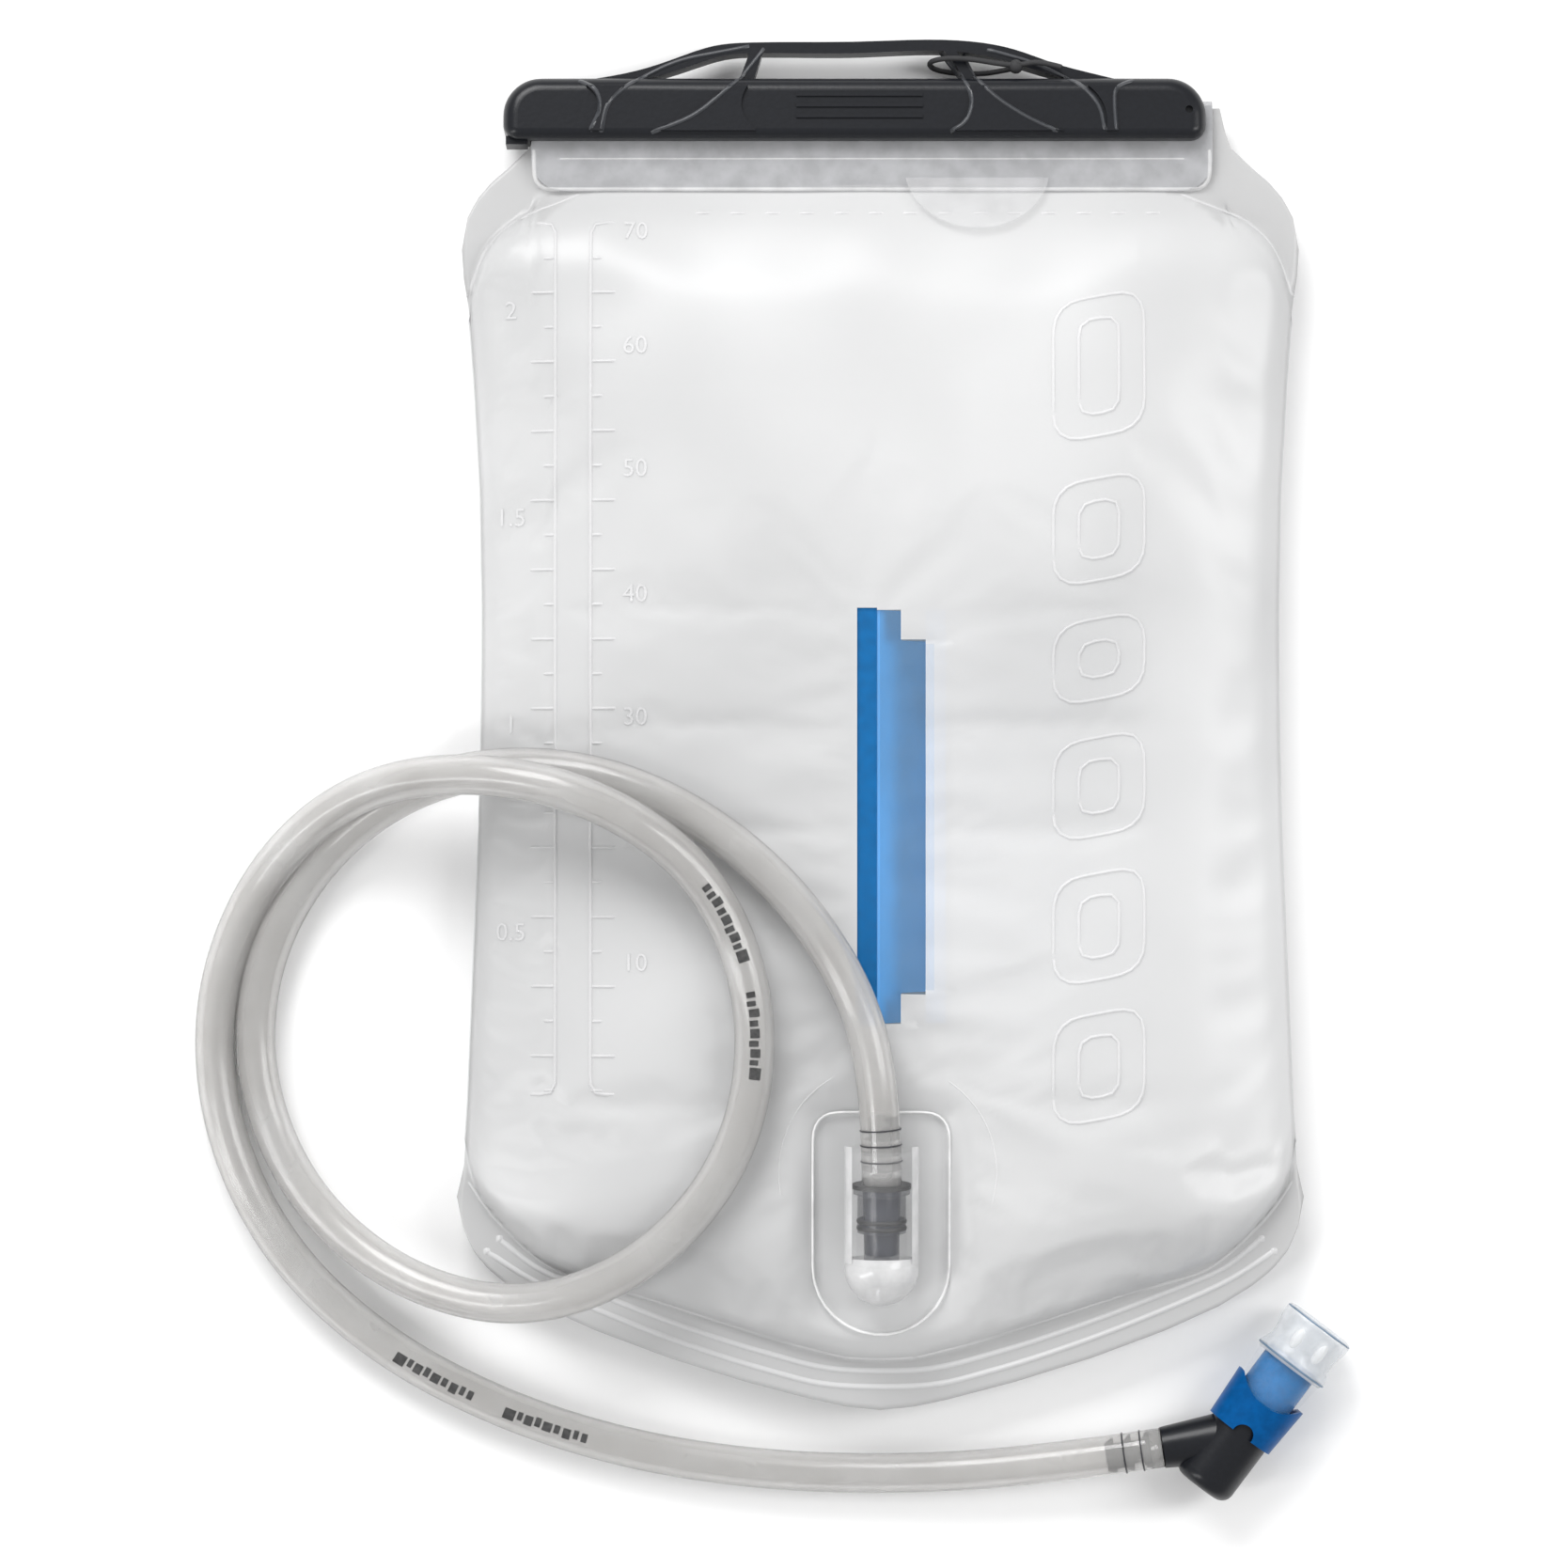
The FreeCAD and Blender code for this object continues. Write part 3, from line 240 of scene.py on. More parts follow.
marks = bmesh.new()
for start in MARK_STARTS:
    for offset, length, lean in MARK_DASHES:
        dash = bmesh.ops.create_grid(marks, x_segments=5, y_segments=4, size=1.0)
        for v in dash["verts"]:
            centre, ahead = walk(tube_line, start + offset + (v.co.x + 1) / 2 * length)
            side = ahead.cross(Vector((0, 0, 1))).normalized()
            up = side.cross(ahead)
            turn = math.radians(24.0 * v.co.y * (0.5 + 0.3 * abs(lean)) + 10.0 * lean)
            v.co = centre + (side * math.sin(turn) + up * math.cos(turn)) * (TUBE_RADIUS / MM + 0.04)
new_piece("hose_printed_marks", marks, print_ink, "hose", "hose")


# ---------------------------------------------------------------- film panels
# Two sheets of frosted polyurethane film, 0.5 mm thick, welded to each other
# along the bottom and the shoulders. The sides fold round without a flange. A
# little air and water holds the sheets apart.
FILM = 0.5
SEAM_Z = 10.8
MOUTH_BEND_Y = 104.0
MOUTH_TILT = math.radians(6.5)
RISE = 14.5
DROP = 12.5
TOP_Y = 147.0
LOWEST, HIGHEST = -112.0, 113.0
PORT_TILT = math.radians(5.0)
PORT_TOP = Vector((0.0, -90.6, 23.4))
FILM_COLUMNS = 150
FILM_ROWS = 230


def between(table, at):
    """The value at a place, on straight lines between the (place, value) pairs."""
    if at <= table[0][0]:
        return table[0][1]
    for (a, low), (b, high) in zip(table, table[1:]):
        if at <= b:
            share = (at - a) / (b - a)
            return low + (high - low) * share
    return table[-1][1]


# Edge of the welded sheets: half width against height, the bottom edge and
# the top edge against sideways place.
HALF_WIDTH = [
    (-112.0, 100.6), (-104.6, 98.9), (-90.0, 98.0), (-54.0, 96.5), (-25.0, 95.3), (0.0, 94.7),
    (27.0, 94.5), (55.0, 95.0), (82.0, 96.5), (99.0, 97.8), (106.0, 99.0), (113.0, 99.5),
]
BOTTOM_EDGE = [
    (0.0, -162.7), (8.0, -161.9), (16.0, -160.2), (32.0, -156.0), (50.0, -150.4), (67.7, -143.8),
    (80.5, -138.0), (88.3, -133.2), (93.0, -129.4), (96.4, -125.4), (98.8, -120.6),
    (100.1, -116.0), (100.6, -112.0),
]
TOP_EDGE = [
    (0.0, TOP_Y), (81.5, TOP_Y), (82.6, 138.2), (85.0, 136.0), (88.5, 132.6), (92.5, 129.2),
    (96.0, 125.0), (98.2, 120.6), (99.2, 117.0), (99.5, 113.0),
]
INNER_BOTTOM = [
    (0.0, -150.8), (8.0, -150.2), (20.0, -147.3), (35.0, -142.6), (53.0, -136.6), (70.0, -131.4),
    (80.0, -127.0), (88.0, -120.5), (94.0, -113.0), (98.5, -105.0),
]
INNER_TOP = [
    (0.0, 127.0), (60.0, 127.0), (71.0, 126.5), (76.0, 124.2), (82.0, 122.2), (88.0, 119.4),
    (92.5, 115.2), (95.6, 109.6), (98.0, 101.5),
]


def seam_height(y):
    """Height of the welded seam, which bends down towards the mouth."""
    bend = 9.0 * math.log(1.0 + math.exp(max(-30.0, min(30.0, (y - MOUTH_BEND_Y) / 9.0))))
    return SEAM_Z - bend * math.tan(MOUTH_TILT)


def soft_min(values, width):
    """The least of the values, rounded where two meet."""
    low = min(values)
    return low - width * math.log(sum(math.exp((low - v) / width) for v in values))


def fullness(x, y):
    """0 on the welds, 1 in the middle of the bag."""
    side = (between(HALF_WIDTH, max(LOWEST, min(HIGHEST, y))) - 0.6 - abs(x)) / 78.0
    bottom = (y - between(INNER_BOTTOM, abs(x))) / 44.0
    top = (between(INNER_TOP, abs(x)) - y) / 62.0
    t = soft_min([side, bottom, top], 0.035)
    t = max(0.0, min(1.0, t))
    return math.sqrt(1.0 - (1.0 - t) ** 2.3)


def port_share(x, y):
    """1 under the stiff port plate, fading to 0 around it."""
    away = math.hypot(max(0.0, abs(x) - 15.0), max(0.0, abs(y + 117.6) - 25.5))
    return max(0.0, 1.0 - away / 9.0) ** 2


def front_height(x, y):
    """Height of the front film, flat under the port's plate."""
    full = seam_height(y) + FILM + (RISE - FILM) * fullness(x, y)
    plate = PORT_TOP.z + (y - PORT_TOP.y) * math.tan(PORT_TILT)
    share = port_share(x, y)
    return full * (1.0 - share) + min(full, plate) * share - (0.02 if share > 0 else 0.0)


def back_height(x, y):
    """Height of the back film, flattened by the table."""
    full = seam_height(y) - FILM - (DROP - FILM) * fullness(x, y)
    return soft_min([-full, -0.25], 0.35) * -1.0


def film_sheet(height):
    """A grid bent to the sheet's outline and height."""
    sheet = bmesh.new()
    bmesh.ops.create_grid(sheet, x_segments=FILM_COLUMNS, y_segments=FILM_ROWS, size=1.0)
    for v in sheet.verts:
        u, s = v.co.x, (v.co.y + 1.0) / 2.0
        nominal = abs(u) * 100.0
        low = between(BOTTOM_EDGE, nominal * 1.006)
        high = between(TOP_EDGE, nominal * 0.995)
        y = low + (high - low) * s
        x = u * between(HALF_WIDTH, max(LOWEST, min(HIGHEST, y)))
        v.co = (x, y, height(x, y))
    return sheet


# Painted shade: the welded flange is coloured darker than the film, for the shade on its flat surface, which
# the light reaches at a grazing angle.
WELD_PAINTED_SHADE = (0.56, 0.56, 0.562)


def film_material(name, opacity, dark, pale, roughness=0.3):
    """Frosted film: milky, softly glossy, clearer where it is bonded to what lies behind, and painted darker
    on the welded flange as painted shade.
    """
    material, shader = principled(name)
    shader.inputs["Roughness"].default_value = roughness
    shader.inputs["IOR"].default_value = 1.46
    place = add_node(material, "ShaderNodeTexCoord")
    cloud = add_node(material, "ShaderNodeTexNoise", Scale=13.0, Detail=2.0)
    join(material, place.outputs["Object"], cloud.inputs["Vector"])
    tint = ramp(material, cloud.outputs["Fac"], [(0.3, dark), (0.7, pale)])
    # The welds take the darker painted shade colour.
    weld = add_node(material, "ShaderNodeAttribute", attribute_name="weld")
    welded = add_node(material, "ShaderNodeMix", data_type="RGBA")
    welded.inputs["B"].default_value = (*WELD_PAINTED_SHADE, 1.0)
    join(material, weld.outputs["Fac"], welded.inputs["Factor"])
    join(material, tint.outputs["Color"], welded.inputs["A"])
    join(material, welded.outputs["Result"], shader.inputs["Base Color"])
    grain = add_node(material, "ShaderNodeTexNoise", Scale=2600.0, Detail=2.0)
    join(material, place.outputs["Object"], grain.inputs["Vector"])
    bumpy(material, shader, grain.outputs["Fac"], 0.1, 0.0001)
    shader.inputs["Alpha"].default_value = opacity
    return material


def settle(piece, held, pressure, slack, cap, frames=20):
    """Lets the film crease under its own slack, held where it is welded or stiff."""
    start = [v.co.copy() for v in piece.data.vertices]
    group = piece.vertex_groups.new(name="held")
    for index, co in enumerate(start):
        group.add([index], held(co.x / MM, co.y / MM), "REPLACE")
    cloth = piece.modifiers.new("cloth", "CLOTH")
    cloth.settings.quality = 5
    cloth.settings.mass = 0.15
    cloth.settings.tension_stiffness = 20.0
    cloth.settings.compression_stiffness = 20.0
    cloth.settings.shear_stiffness = 12.0
    cloth.settings.bending_stiffness = 0.8
    cloth.settings.effector_weights.gravity = 0.0
    cloth.settings.use_pressure = True
    cloth.settings.uniform_pressure_force = pressure
    cloth.settings.shrink_min = -slack
    cloth.settings.vertex_group_mass = "held"
    cloth.collision_settings.use_collision = False
    cloth.point_cache.frame_start = 1
    cloth.point_cache.frame_end = frames
    scene = bpy.context.scene
    for frame_number in range(1, frames + 1):
        scene.frame_set(frame_number)
    evaluated = piece.evaluated_get(bpy.context.evaluated_depsgraph_get())
    moved = [v.co.copy() for v in evaluated.data.vertices]
    piece.modifiers.remove(cloth)
    piece.vertex_groups.remove(group)
    scene.frame_set(1)
    for vertex, before, after in zip(piece.data.vertices, start, moved):
        shift = after - before
        if shift.length > cap * MM:
            shift *= cap * MM / shift.length
        vertex.co = before + shift


def ease(piece, soft, times):
    """Relaxes the creases where the film lies smooth."""
    builder = bmesh.new()
    builder.from_mesh(piece.data)
    relaxed = [v for v in builder.verts if not v.is_boundary and soft(v.co.x / MM, v.co.y / MM)]
    for _ in range(times):
        bmesh.ops.smooth_vert(builder, verts=relaxed, factor=0.5,
                              use_axis_x=True, use_axis_y=True, use_axis_z=True)
    builder.to_mesh(piece.data)
    builder.free()


film_front = film_material("frosted_film_front", 0.66, (0.60, 0.602, 0.605), (0.745, 0.747, 0.75))
film_back = film_material("frosted_film_back", 0.75, (0.70, 0.70, 0.71), (0.80, 0.80, 0.80))
film_bonded = film_material("frosted_film_on_track", 0.015, (0.3, 0.5, 0.7), (0.4, 0.6, 0.8), 0.2)
film_near = film_material("frosted_film_near_web", 0.09, (0.45, 0.66, 0.85), (0.55, 0.74, 0.9))
film_edge = film_material("frosted_film_past_web", 0.5, (0.66, 0.69, 0.72), (0.76, 0.79, 0.82))
# Where the web and the track are bonded on, as (left, right, bottom, top) and
# the number of the finish that the film has there.
BONDS = [
    (-5.7, -1.0, -71.0, 27.5, 1), (-1.0, 4.6, -70.5, 27.0, 2), (4.6, 10.4, -63.5, 20.0, 2),
    (10.4, 12.4, -62.5, 19.0, 3),
]

front_builder = film_sheet(front_height)
for left, right, low, high, finish in BONDS:
    cuts = [((x, 0, 0), (1, 0, 0)) for x in (left, right)] + [((0, y, 0), (0, 1, 0)) for y in (low, high)]
    for place, across in cuts:
        nearby = [f for f in front_builder.faces if left - 4 < f.calc_center_median().x < right + 4
                  and low - 4 < f.calc_center_median().y < high + 4]
        parts = set(nearby)
        parts.update(e for f in nearby for e in f.edges)
        parts.update(v for f in nearby for v in f.verts)
        bmesh.ops.bisect_plane(front_builder, geom=list(parts), dist=0.01, plane_co=place, plane_no=across)
for face in front_builder.faces:
    middle = face.calc_center_median()
    for left, right, low, high, finish in BONDS:
        if left < middle.x < right and low < middle.y < high:
            face.material_index = finish
front_panel = new_piece("film_front_panel", front_builder, [film_front, film_bonded, film_near, film_edge],
                        "reservoir", "film", "front_panel")


def mark_welds(piece):
    """Stores how far each point lies into a weld, from 0 to 1."""
    shade = piece.data.attributes.new("weld", "FLOAT", "POINT")
    for vertex, value in zip(piece.data.vertices, shade.data):
        x, y = abs(vertex.co.x / MM), vertex.co.y / MM
        below = between(INNER_BOTTOM, x) + 0.4 - y
        above = (y - between(INNER_TOP, x) + 0.4) if x > 68 else -1.0
        value.value = max(0.0, min(1.0, max(below, above) / 0.8))


mark_welds(front_panel)


def front_hold(x, y):
    """1 where the front film can't move, 0 where it is free."""
    edge = 1.0 - min(1.0, fullness(x, y) / 0.3)
    along_track = 1.0 if -7.5 < x < 1.0 and -73.0 < y < 29.0 else 0.0
    return max(edge, min(1.0, port_share(x, y) * 2.0), along_track)


settle(front_panel, front_hold, pressure=0.02, slack=0.006, cap=1.0)
ease(front_panel, lambda x, y: y > 78.0 and abs(x) < 82.0, times=60)
ease(front_panel, lambda x, y: x > 62.0 and -100.0 < y < 118.0, times=16)
back_builder = film_sheet(back_height)
back_panel = new_piece("film_back_panel", back_builder, film_back, "reservoir", "film", "back_panel")
mark_welds(back_panel)
for sheet_piece in (front_panel, back_panel):
    thickness = sheet_piece.modifiers.new("film", "SOLIDIFY")
    thickness.thickness = FILM * 0.8 * MM
    thickness.offset = -1.0


# ---------------------------------------------------------------- welds and marks on the film
# The film is embossed by the welding tool: two ribs along the bottom seam, a
# filling scale down the left, a fill line across the top, a row of rounded
# outlines down the right and the ring of the port's weld.
class Surface:
    """Finds how high a piece stands at a place in plan."""

    def __init__(self, piece):
        mesh = piece.data
        places = [v.co / MM for v in mesh.vertices]
        self.tree = BVHTree.FromPolygons(places, [tuple(f.vertices) for f in mesh.polygons])

    def height(self, x, y, otherwise):
        hit = self.tree.ray_cast(Vector((x, y, 90.0)), Vector((0, 0, -1.0)))
        return hit[0].z if hit[0] else otherwise


def rounded_path(corners, radius, closed=False, arc_steps=5):
    """A line through corners, each rounded off."""
    count = len(corners)
    line = []
    for i, corner in enumerate(corners):
        at = Vector(corner)
        if not closed and i in (0, count - 1):
            line.append(at)
            continue
        before, after = Vector(corners[i - 1]), Vector(corners[(i + 1) % count])
        cut = min(radius, (before - at).length * 0.45, (after - at).length * 0.45)
        first, last = at + (before - at).normalized() * cut, at + (after - at).normalized() * cut
        for k in range(arc_steps + 1):
            t = k / arc_steps
            line.append(first.lerp(at, t).lerp(at.lerp(last, t), t))
    if closed:
        line.append(line[0].copy())
    return line


def bead(builder, line, width, height, surface, otherwise=12.0, spacing=2.5):
    """A low rounded bead laid along a plan line, on a surface."""
    line = [Vector((p[0], p[1], 0.0)) for p in line]
    total = path_length(line)
    steps = max(2, int(total / spacing))
    strip = bmesh.ops.create_grid(builder, x_segments=steps, y_segments=4, size=1.0)
    for v in strip["verts"]:
        reach = (v.co.x + 1) / 2 * total
        centre, ahead = walk(line, reach)
        side = Vector((-ahead.y, ahead.x, 0.0))
        flat = centre + side * (v.co.y * width / 2)
        base = surface.height(flat.x, flat.y, otherwise)
        arch = 1.0 - v.co.y ** 2
        taper = min(1.0, min(reach, total - reach) / (width * 0.6) + 0.02)
        v.co = (flat.x, flat.y, base - 0.08 + (height + 0.08) * arch * taper)


film_surface = Surface(front_panel)
# Painted highlight: the raised marks are coloured paler than the film.
emboss_highlight = film_material("embossed_film_painted_highlight", 0.55, (0.72, 0.72, 0.725), (0.86, 0.86, 0.865), 0.2)
SIDES = (-1.0, 1.0)

ribs = bmesh.new()
RIB_UPPER = [
    (0.0, -153.5), (10.0, -153.2), (17.0, -152.0), (34.9, -147.0), (52.8, -140.8), (70.0, -134.0),
    (82.0, -129.2), (90.5, -122.0),
]
RIB_LOWER = [
    (0.0, -157.3), (10.0, -157.0), (17.0, -156.0), (34.9, -151.0), (52.8, -144.8), (70.0, -137.8),
    (83.0, -132.0), (93.5, -125.0),
]
for rib in (RIB_UPPER, RIB_LOWER):
    whole = [(-x, y) for x, y in reversed(rib)] + rib[1:]
    bead(ribs, rounded_path(whole, 8.0), 1.5, 0.55, film_surface)
    for side in SIDES:
        end_x, end_y = side * rib[-1][0], rib[-1][1]
        bead(ribs, [(end_x - 0.9, end_y), (end_x + 0.9, end_y)], 1.8, 0.6, film_surface, spacing=0.3)
INNER_WELD = [
    (0.0, -150.6), (8.1, -150.4), (21.5, -147.0), (34.9, -143.0), (52.8, -137.0), (77.0, -130.0),
    (84.0, -125.0), (93.0, -115.8), (98.1, -108.0),
]
whole = [(-x, y) for x, y in reversed(INNER_WELD)] + INNER_WELD[1:]
bead(ribs, rounded_path(whole, 10.0), 0.8, 0.3, film_surface)
for side in SIDES:
    bead(ribs, rounded_path([(side * x, y) for x, y in INNER_TOP[2:]], 6.0), 0.8, 0.3, film_surface)
new_piece("film_weld_ribs", ribs, emboss_highlight, "reservoir", "film")

scale = bmesh.new()
SCALE_LEFT, SCALE_RIGHT = -76.9, -68.5
SCALE_TOP, SCALE_LOW = 119.0, -87.2
for line_x, out in ((SCALE_LEFT, -1.0), (SCALE_RIGHT, 1.0)):
    end_x = line_x + 6 * out
    corners = [(end_x, SCALE_TOP), (line_x, SCALE_TOP), (line_x, SCALE_LOW), (end_x, SCALE_LOW)]
    bead(scale, rounded_path(corners, 3.0), 0.95, 0.5, film_surface)
    for tick in range(25):
        tick_y = 110.3 - 8.19 * tick
        long = 2.9 if tick % 2 == 0 else 6.0
        bead(scale, [(line_x, tick_y), (line_x + out * long, tick_y)], 0.8, 0.45, film_surface, spacing=0.8)
DASH_PITCH = 8.2
for number in range(14):
    dash_x = -43.9 + DASH_PITCH * number
    bead(scale, [(dash_x, 121.5), (dash_x + 3.8, 121.5)], 0.9, 0.45, film_surface, spacing=0.8)
new_piece("film_scale_lines", scale, emboss_highlight, "reservoir", "film")

# Plain numerals, litres on the left of the scale and ounces on the right.
numerals = bmesh.new()
LITRES = [("2", 98.0), ("1.5", 49.0), ("1", 0.0), ("0.5", -49.0)]
OUNCES = [("70", 117.0), ("60", 89.5), ("50", 60.5), ("40", 31.0), ("30", 2.0), ("20", -27.0), ("10", -56.0)]
for words, centre_x in ((LITRES, -87.5), (OUNCES, -58.0)):
    for word, word_y in words:
        text = bpy.data.curves.new("numeral", "FONT")
        text.body = word
        text.size = 6.0
        text.align_x = "CENTER"
        text.extrude = 0.22
        text.resolution_u = 3
        holder = bpy.data.objects.new("numeral", text)
        mesh = bpy.data.meshes.new_from_object(holder)
        before = len(numerals.verts)
        numerals.from_mesh(mesh)
        numerals.verts.ensure_lookup_table()
        for v in numerals.verts[before:]:
            flat = (centre_x + v.co.x, word_y - 2.0 + v.co.y)
            v.co = (*flat, film_surface.height(*flat, 12.0) + v.co.z)
        bpy.data.meshes.remove(mesh)
        bpy.data.objects.remove(holder)
        bpy.data.curves.remove(text)
new_piece("film_scale_numerals", numerals, emboss_highlight, "reservoir", "film")

# A row of plain rounded outlines, like links, down the right side, and the ring
# that the port's weld leaves in the film.
outlines = bmesh.new()
LINKS = [(103.0, 66.0), (60.0, 32.0), (27.0, 4.0), (-1.0, -28.0), (-33.0, -62.0), (-66.0, -95.0)]
LINK_SLANT = 4.0
for high, low in LINKS:
    outer = [(40.5, low), (62.0, low + LINK_SLANT), (62.0, high), (40.5, high - LINK_SLANT)]
    bead(outlines, rounded_path(outer, 7.0, closed=True), 0.9, 0.45, film_surface)
    inner = [(46.5, low + 6.5), (56.0, low + LINK_SLANT + 4.0),
             (56.0, high - 6.5), (46.5, high - LINK_SLANT - 4.0)]
    bead(outlines, rounded_path(inner, 3.5, closed=True), 0.9, 0.45, film_surface)
RING_X, RING_Y, RING_RADIUS = 1.5, -105.3, 25.7
for first, last in ((-20, 62), (118, 200)):
    turns = [math.radians(angle) for angle in range(first, last + 1, 4)]
    arc = [(RING_X + RING_RADIUS * math.cos(turn), RING_Y + RING_RADIUS * math.sin(turn)) for turn in turns]
    bead(outlines, arc, 0.5, 0.14, film_surface)
new_piece("film_embossed_links", outlines, emboss_highlight, "reservoir", "film")


# ---------------------------------------------------------------- mouth strip and pull tab
# The bag's mouth is stiffened with a welded strip of clear plastic, folded forward
# over the top. Its grey is partly the folded film behind it and partly painted shadow
# from the slide seal above. Its lower edge is a bead of thicker plastic, painted white
# as a highlight, with a thin painted highlight line along the strip, and a thin
# round tab for the finger is welded on.
def moulded(name, colour, roughness, grain_scale, grain):
    """Injection moulded plastic with a fine surface grain."""
    material, shader = principled(name)
    shader.inputs["Roughness"].default_value = roughness
    noise = object_noise(material, grain_scale, 4.0)
    darker = tuple(c * 0.82 for c in colour)
    tint = ramp(material, noise.outputs["Fac"], [(0.35, darker), (0.65, colour)])
    join(material, tint.outputs["Color"], shader.inputs["Base Color"])
    bumpy(material, shader, noise.outputs["Fac"], grain, 0.0002)
    return material, shader


def finish_node(name, material):
    """Gives a carried-over piece its own finish."""
    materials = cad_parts[name].data.materials
    materials.clear()
    materials.append(material)


# Grey, partly for the folded film seen through the strip and partly as painted shadow from the slide seal.
lip_plastic_and_shadow, lip_shader = moulded("mouth_strip_plastic_and_painted_shadow", (0.50, 0.505, 0.52), 0.22, 200.0, 0.03)
lip_shader.inputs["Alpha"].default_value = 0.5
finish_node("mouth_strip", lip_plastic_and_shadow)
tab_plastic, tab_shader = moulded("pull_tab_plastic", (0.80, 0.80, 0.81), 0.2, 200.0, 0.03)
tab_shader.inputs["Alpha"].default_value = 0.16
finish_node("pull_tab", tab_plastic)

lip_surface = Surface(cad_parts["mouth_strip"])
lip_edge = bmesh.new()
lip_line = rounded_path([(-82.3, 137.0), (-82.3, 127.3), (78.3, 127.3), (78.3, 137.0)], 7.6)
bead(lip_edge, lip_line, 1.0, 0.4, lip_surface, 10.6, 1.5)
bead(lip_edge, [(-77.0, 134.6), (73.0, 134.6)], 0.5, 0.2, lip_surface, 10.6)
# Painted highlight: white beads along the strip's rounded lower edge and along its face.
lip_painted_highlight, lip_painted_highlight_shader = moulded("lip_edge", (0.95, 0.95, 0.95), 0.2, 200.0, 0.02)
lip_painted_highlight_shader.inputs["Alpha"].default_value = 0.4
new_piece("mouth_lip_edge", lip_edge, lip_painted_highlight, "reservoir", "film")


# ---------------------------------------------------------------- slide seal
# The channel that clamps the folded mouth shut, with its handle and struts, is
# one charcoal plastic moulding. Swept ridges stiffen it; they are coloured paler
# than the bar as a painted highlight.
charcoal, charcoal_shader = moulded("charcoal_moulding", (0.007, 0.008, 0.011), 0.30, 900.0, 0.12)
charcoal_shader.inputs["Specular IOR Level"].default_value = 0.3
finish_node("slide_seal_bar", charcoal)
bar_surface = Surface(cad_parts["slide_seal_bar"])
ridges = bmesh.new()
RIDGES = [
    [(-27.5, 161.2), (-33.8, 153.2), (-43.9, 144.3), (-54.5, 140.4)],
    [(-31.0, 161.6), (-48.3, 158.3), (-58.4, 153.2), (-65.0, 147.6), (-66.2, 140.4)],
    [(-71.8, 153.2), (-67.3, 151.0), (-66.2, 146.5), (-69.0, 140.7)],
    [(14.2, 161.0), (20.2, 153.2), (22.0, 147.6), (20.2, 142.7), (16.4, 140.7)],
    [(19.8, 159.9), (23.1, 153.2), (27.6, 148.7), (34.3, 144.3), (42.1, 140.7)],
    [(25.3, 160.9), (37.6, 157.4), (47.7, 152.0), (52.1, 147.2), (53.2, 140.9)],
    [(60.4, 153.4), (55.5, 151.2), (55.5, 146.5), (55.9, 141.0)],
]
for ridge in RIDGES:
    bead(ridges, rounded_path(ridge, 6.0), 1.1, 0.55, bar_surface, 4.0, 1.0)
# Painted highlight: the ridges are coloured paler than the bar.
ridge_highlight, _ = moulded("charcoal_ridge_painted_highlight", (0.05, 0.053, 0.06), 0.3, 900.0, 0.1)
new_piece("slide_seal_ridges", ridges, ridge_highlight, "slide_seal", "charcoal")


# ---------------------------------------------------------------- tether
# A thin black braided cord, looped round the handle's strut and knotted to
# itself, that keeps the slide seal with the bag.
cord_black, _ = moulded("braided_cord", (0.02, 0.02, 0.022), 0.7, 3000.0, 0.5)
for name in ("tether_cord", "tether_knot"):
    finish_node(name, cord_black)
TETHER_ROUTE = [
    (43.0, 156.268, 11.085), (38.0, 157.912, 10.495), (32.5, 156.697, 10.432), (27.5, 157.293, 10.364),
    (22.0, 158.287, 10.251), (15.5, 158.662, 10.007), (11.4, 157.947, 7.27), (12.6, 156.654, 2.989),
    (18.0, 155.758, 2.186), (23.5, 155.615, 2.705), (27.0, 155.634, 5.521), (31.2, 156.173, 8.479),
]
tether_curve = bpy.data.curves.new("tether", "CURVE")
tether_curve.dimensions = "3D"
tether_spline = tether_curve.splines.new("NURBS")
tether_spline.points.add(len(TETHER_ROUTE) - 1)
for point, place in zip(tether_spline.points, TETHER_ROUTE):
    point.co = (*(Vector(place) * MM), 1.0)
tether_spline.order_u = 3
tether_spline.use_endpoint_u = True
tether_spline.resolution_u = 10
tether_curve.bevel_depth = 0.65 * MM
tether_curve.bevel_resolution = 4
tether_curve.materials.append(cord_black)
tether = bpy.data.objects.new("slide_seal_tether", tether_curve)
bpy.context.scene.collection.objects.link(tether)
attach(tether, "slide_seal")
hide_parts("tether_cord")
tuple(Vector(TETHER_ROUTE[0]) * MM)


# ---------------------------------------------------------------- baffle
# A bright blue track is welded down the middle of the front film and another on
# the back, and a paler blue web joins them, so that the bag stays flat.
baffle_blue, baffle_shader = moulded("baffle_track_blue", (0.001, 0.115, 0.33), 0.3, 400.0, 0.05)
baffle_shader.inputs["Specular IOR Level"].default_value = 0.08
finish_node("baffle_front_track", baffle_blue)
web_blue, _ = moulded("baffle_web_blue", (0.02, 0.36, 0.92), 0.4, 60.0, 0.05)
for name in ("baffle_web", "baffle_back_track"):
    finish_node(name, web_blue)


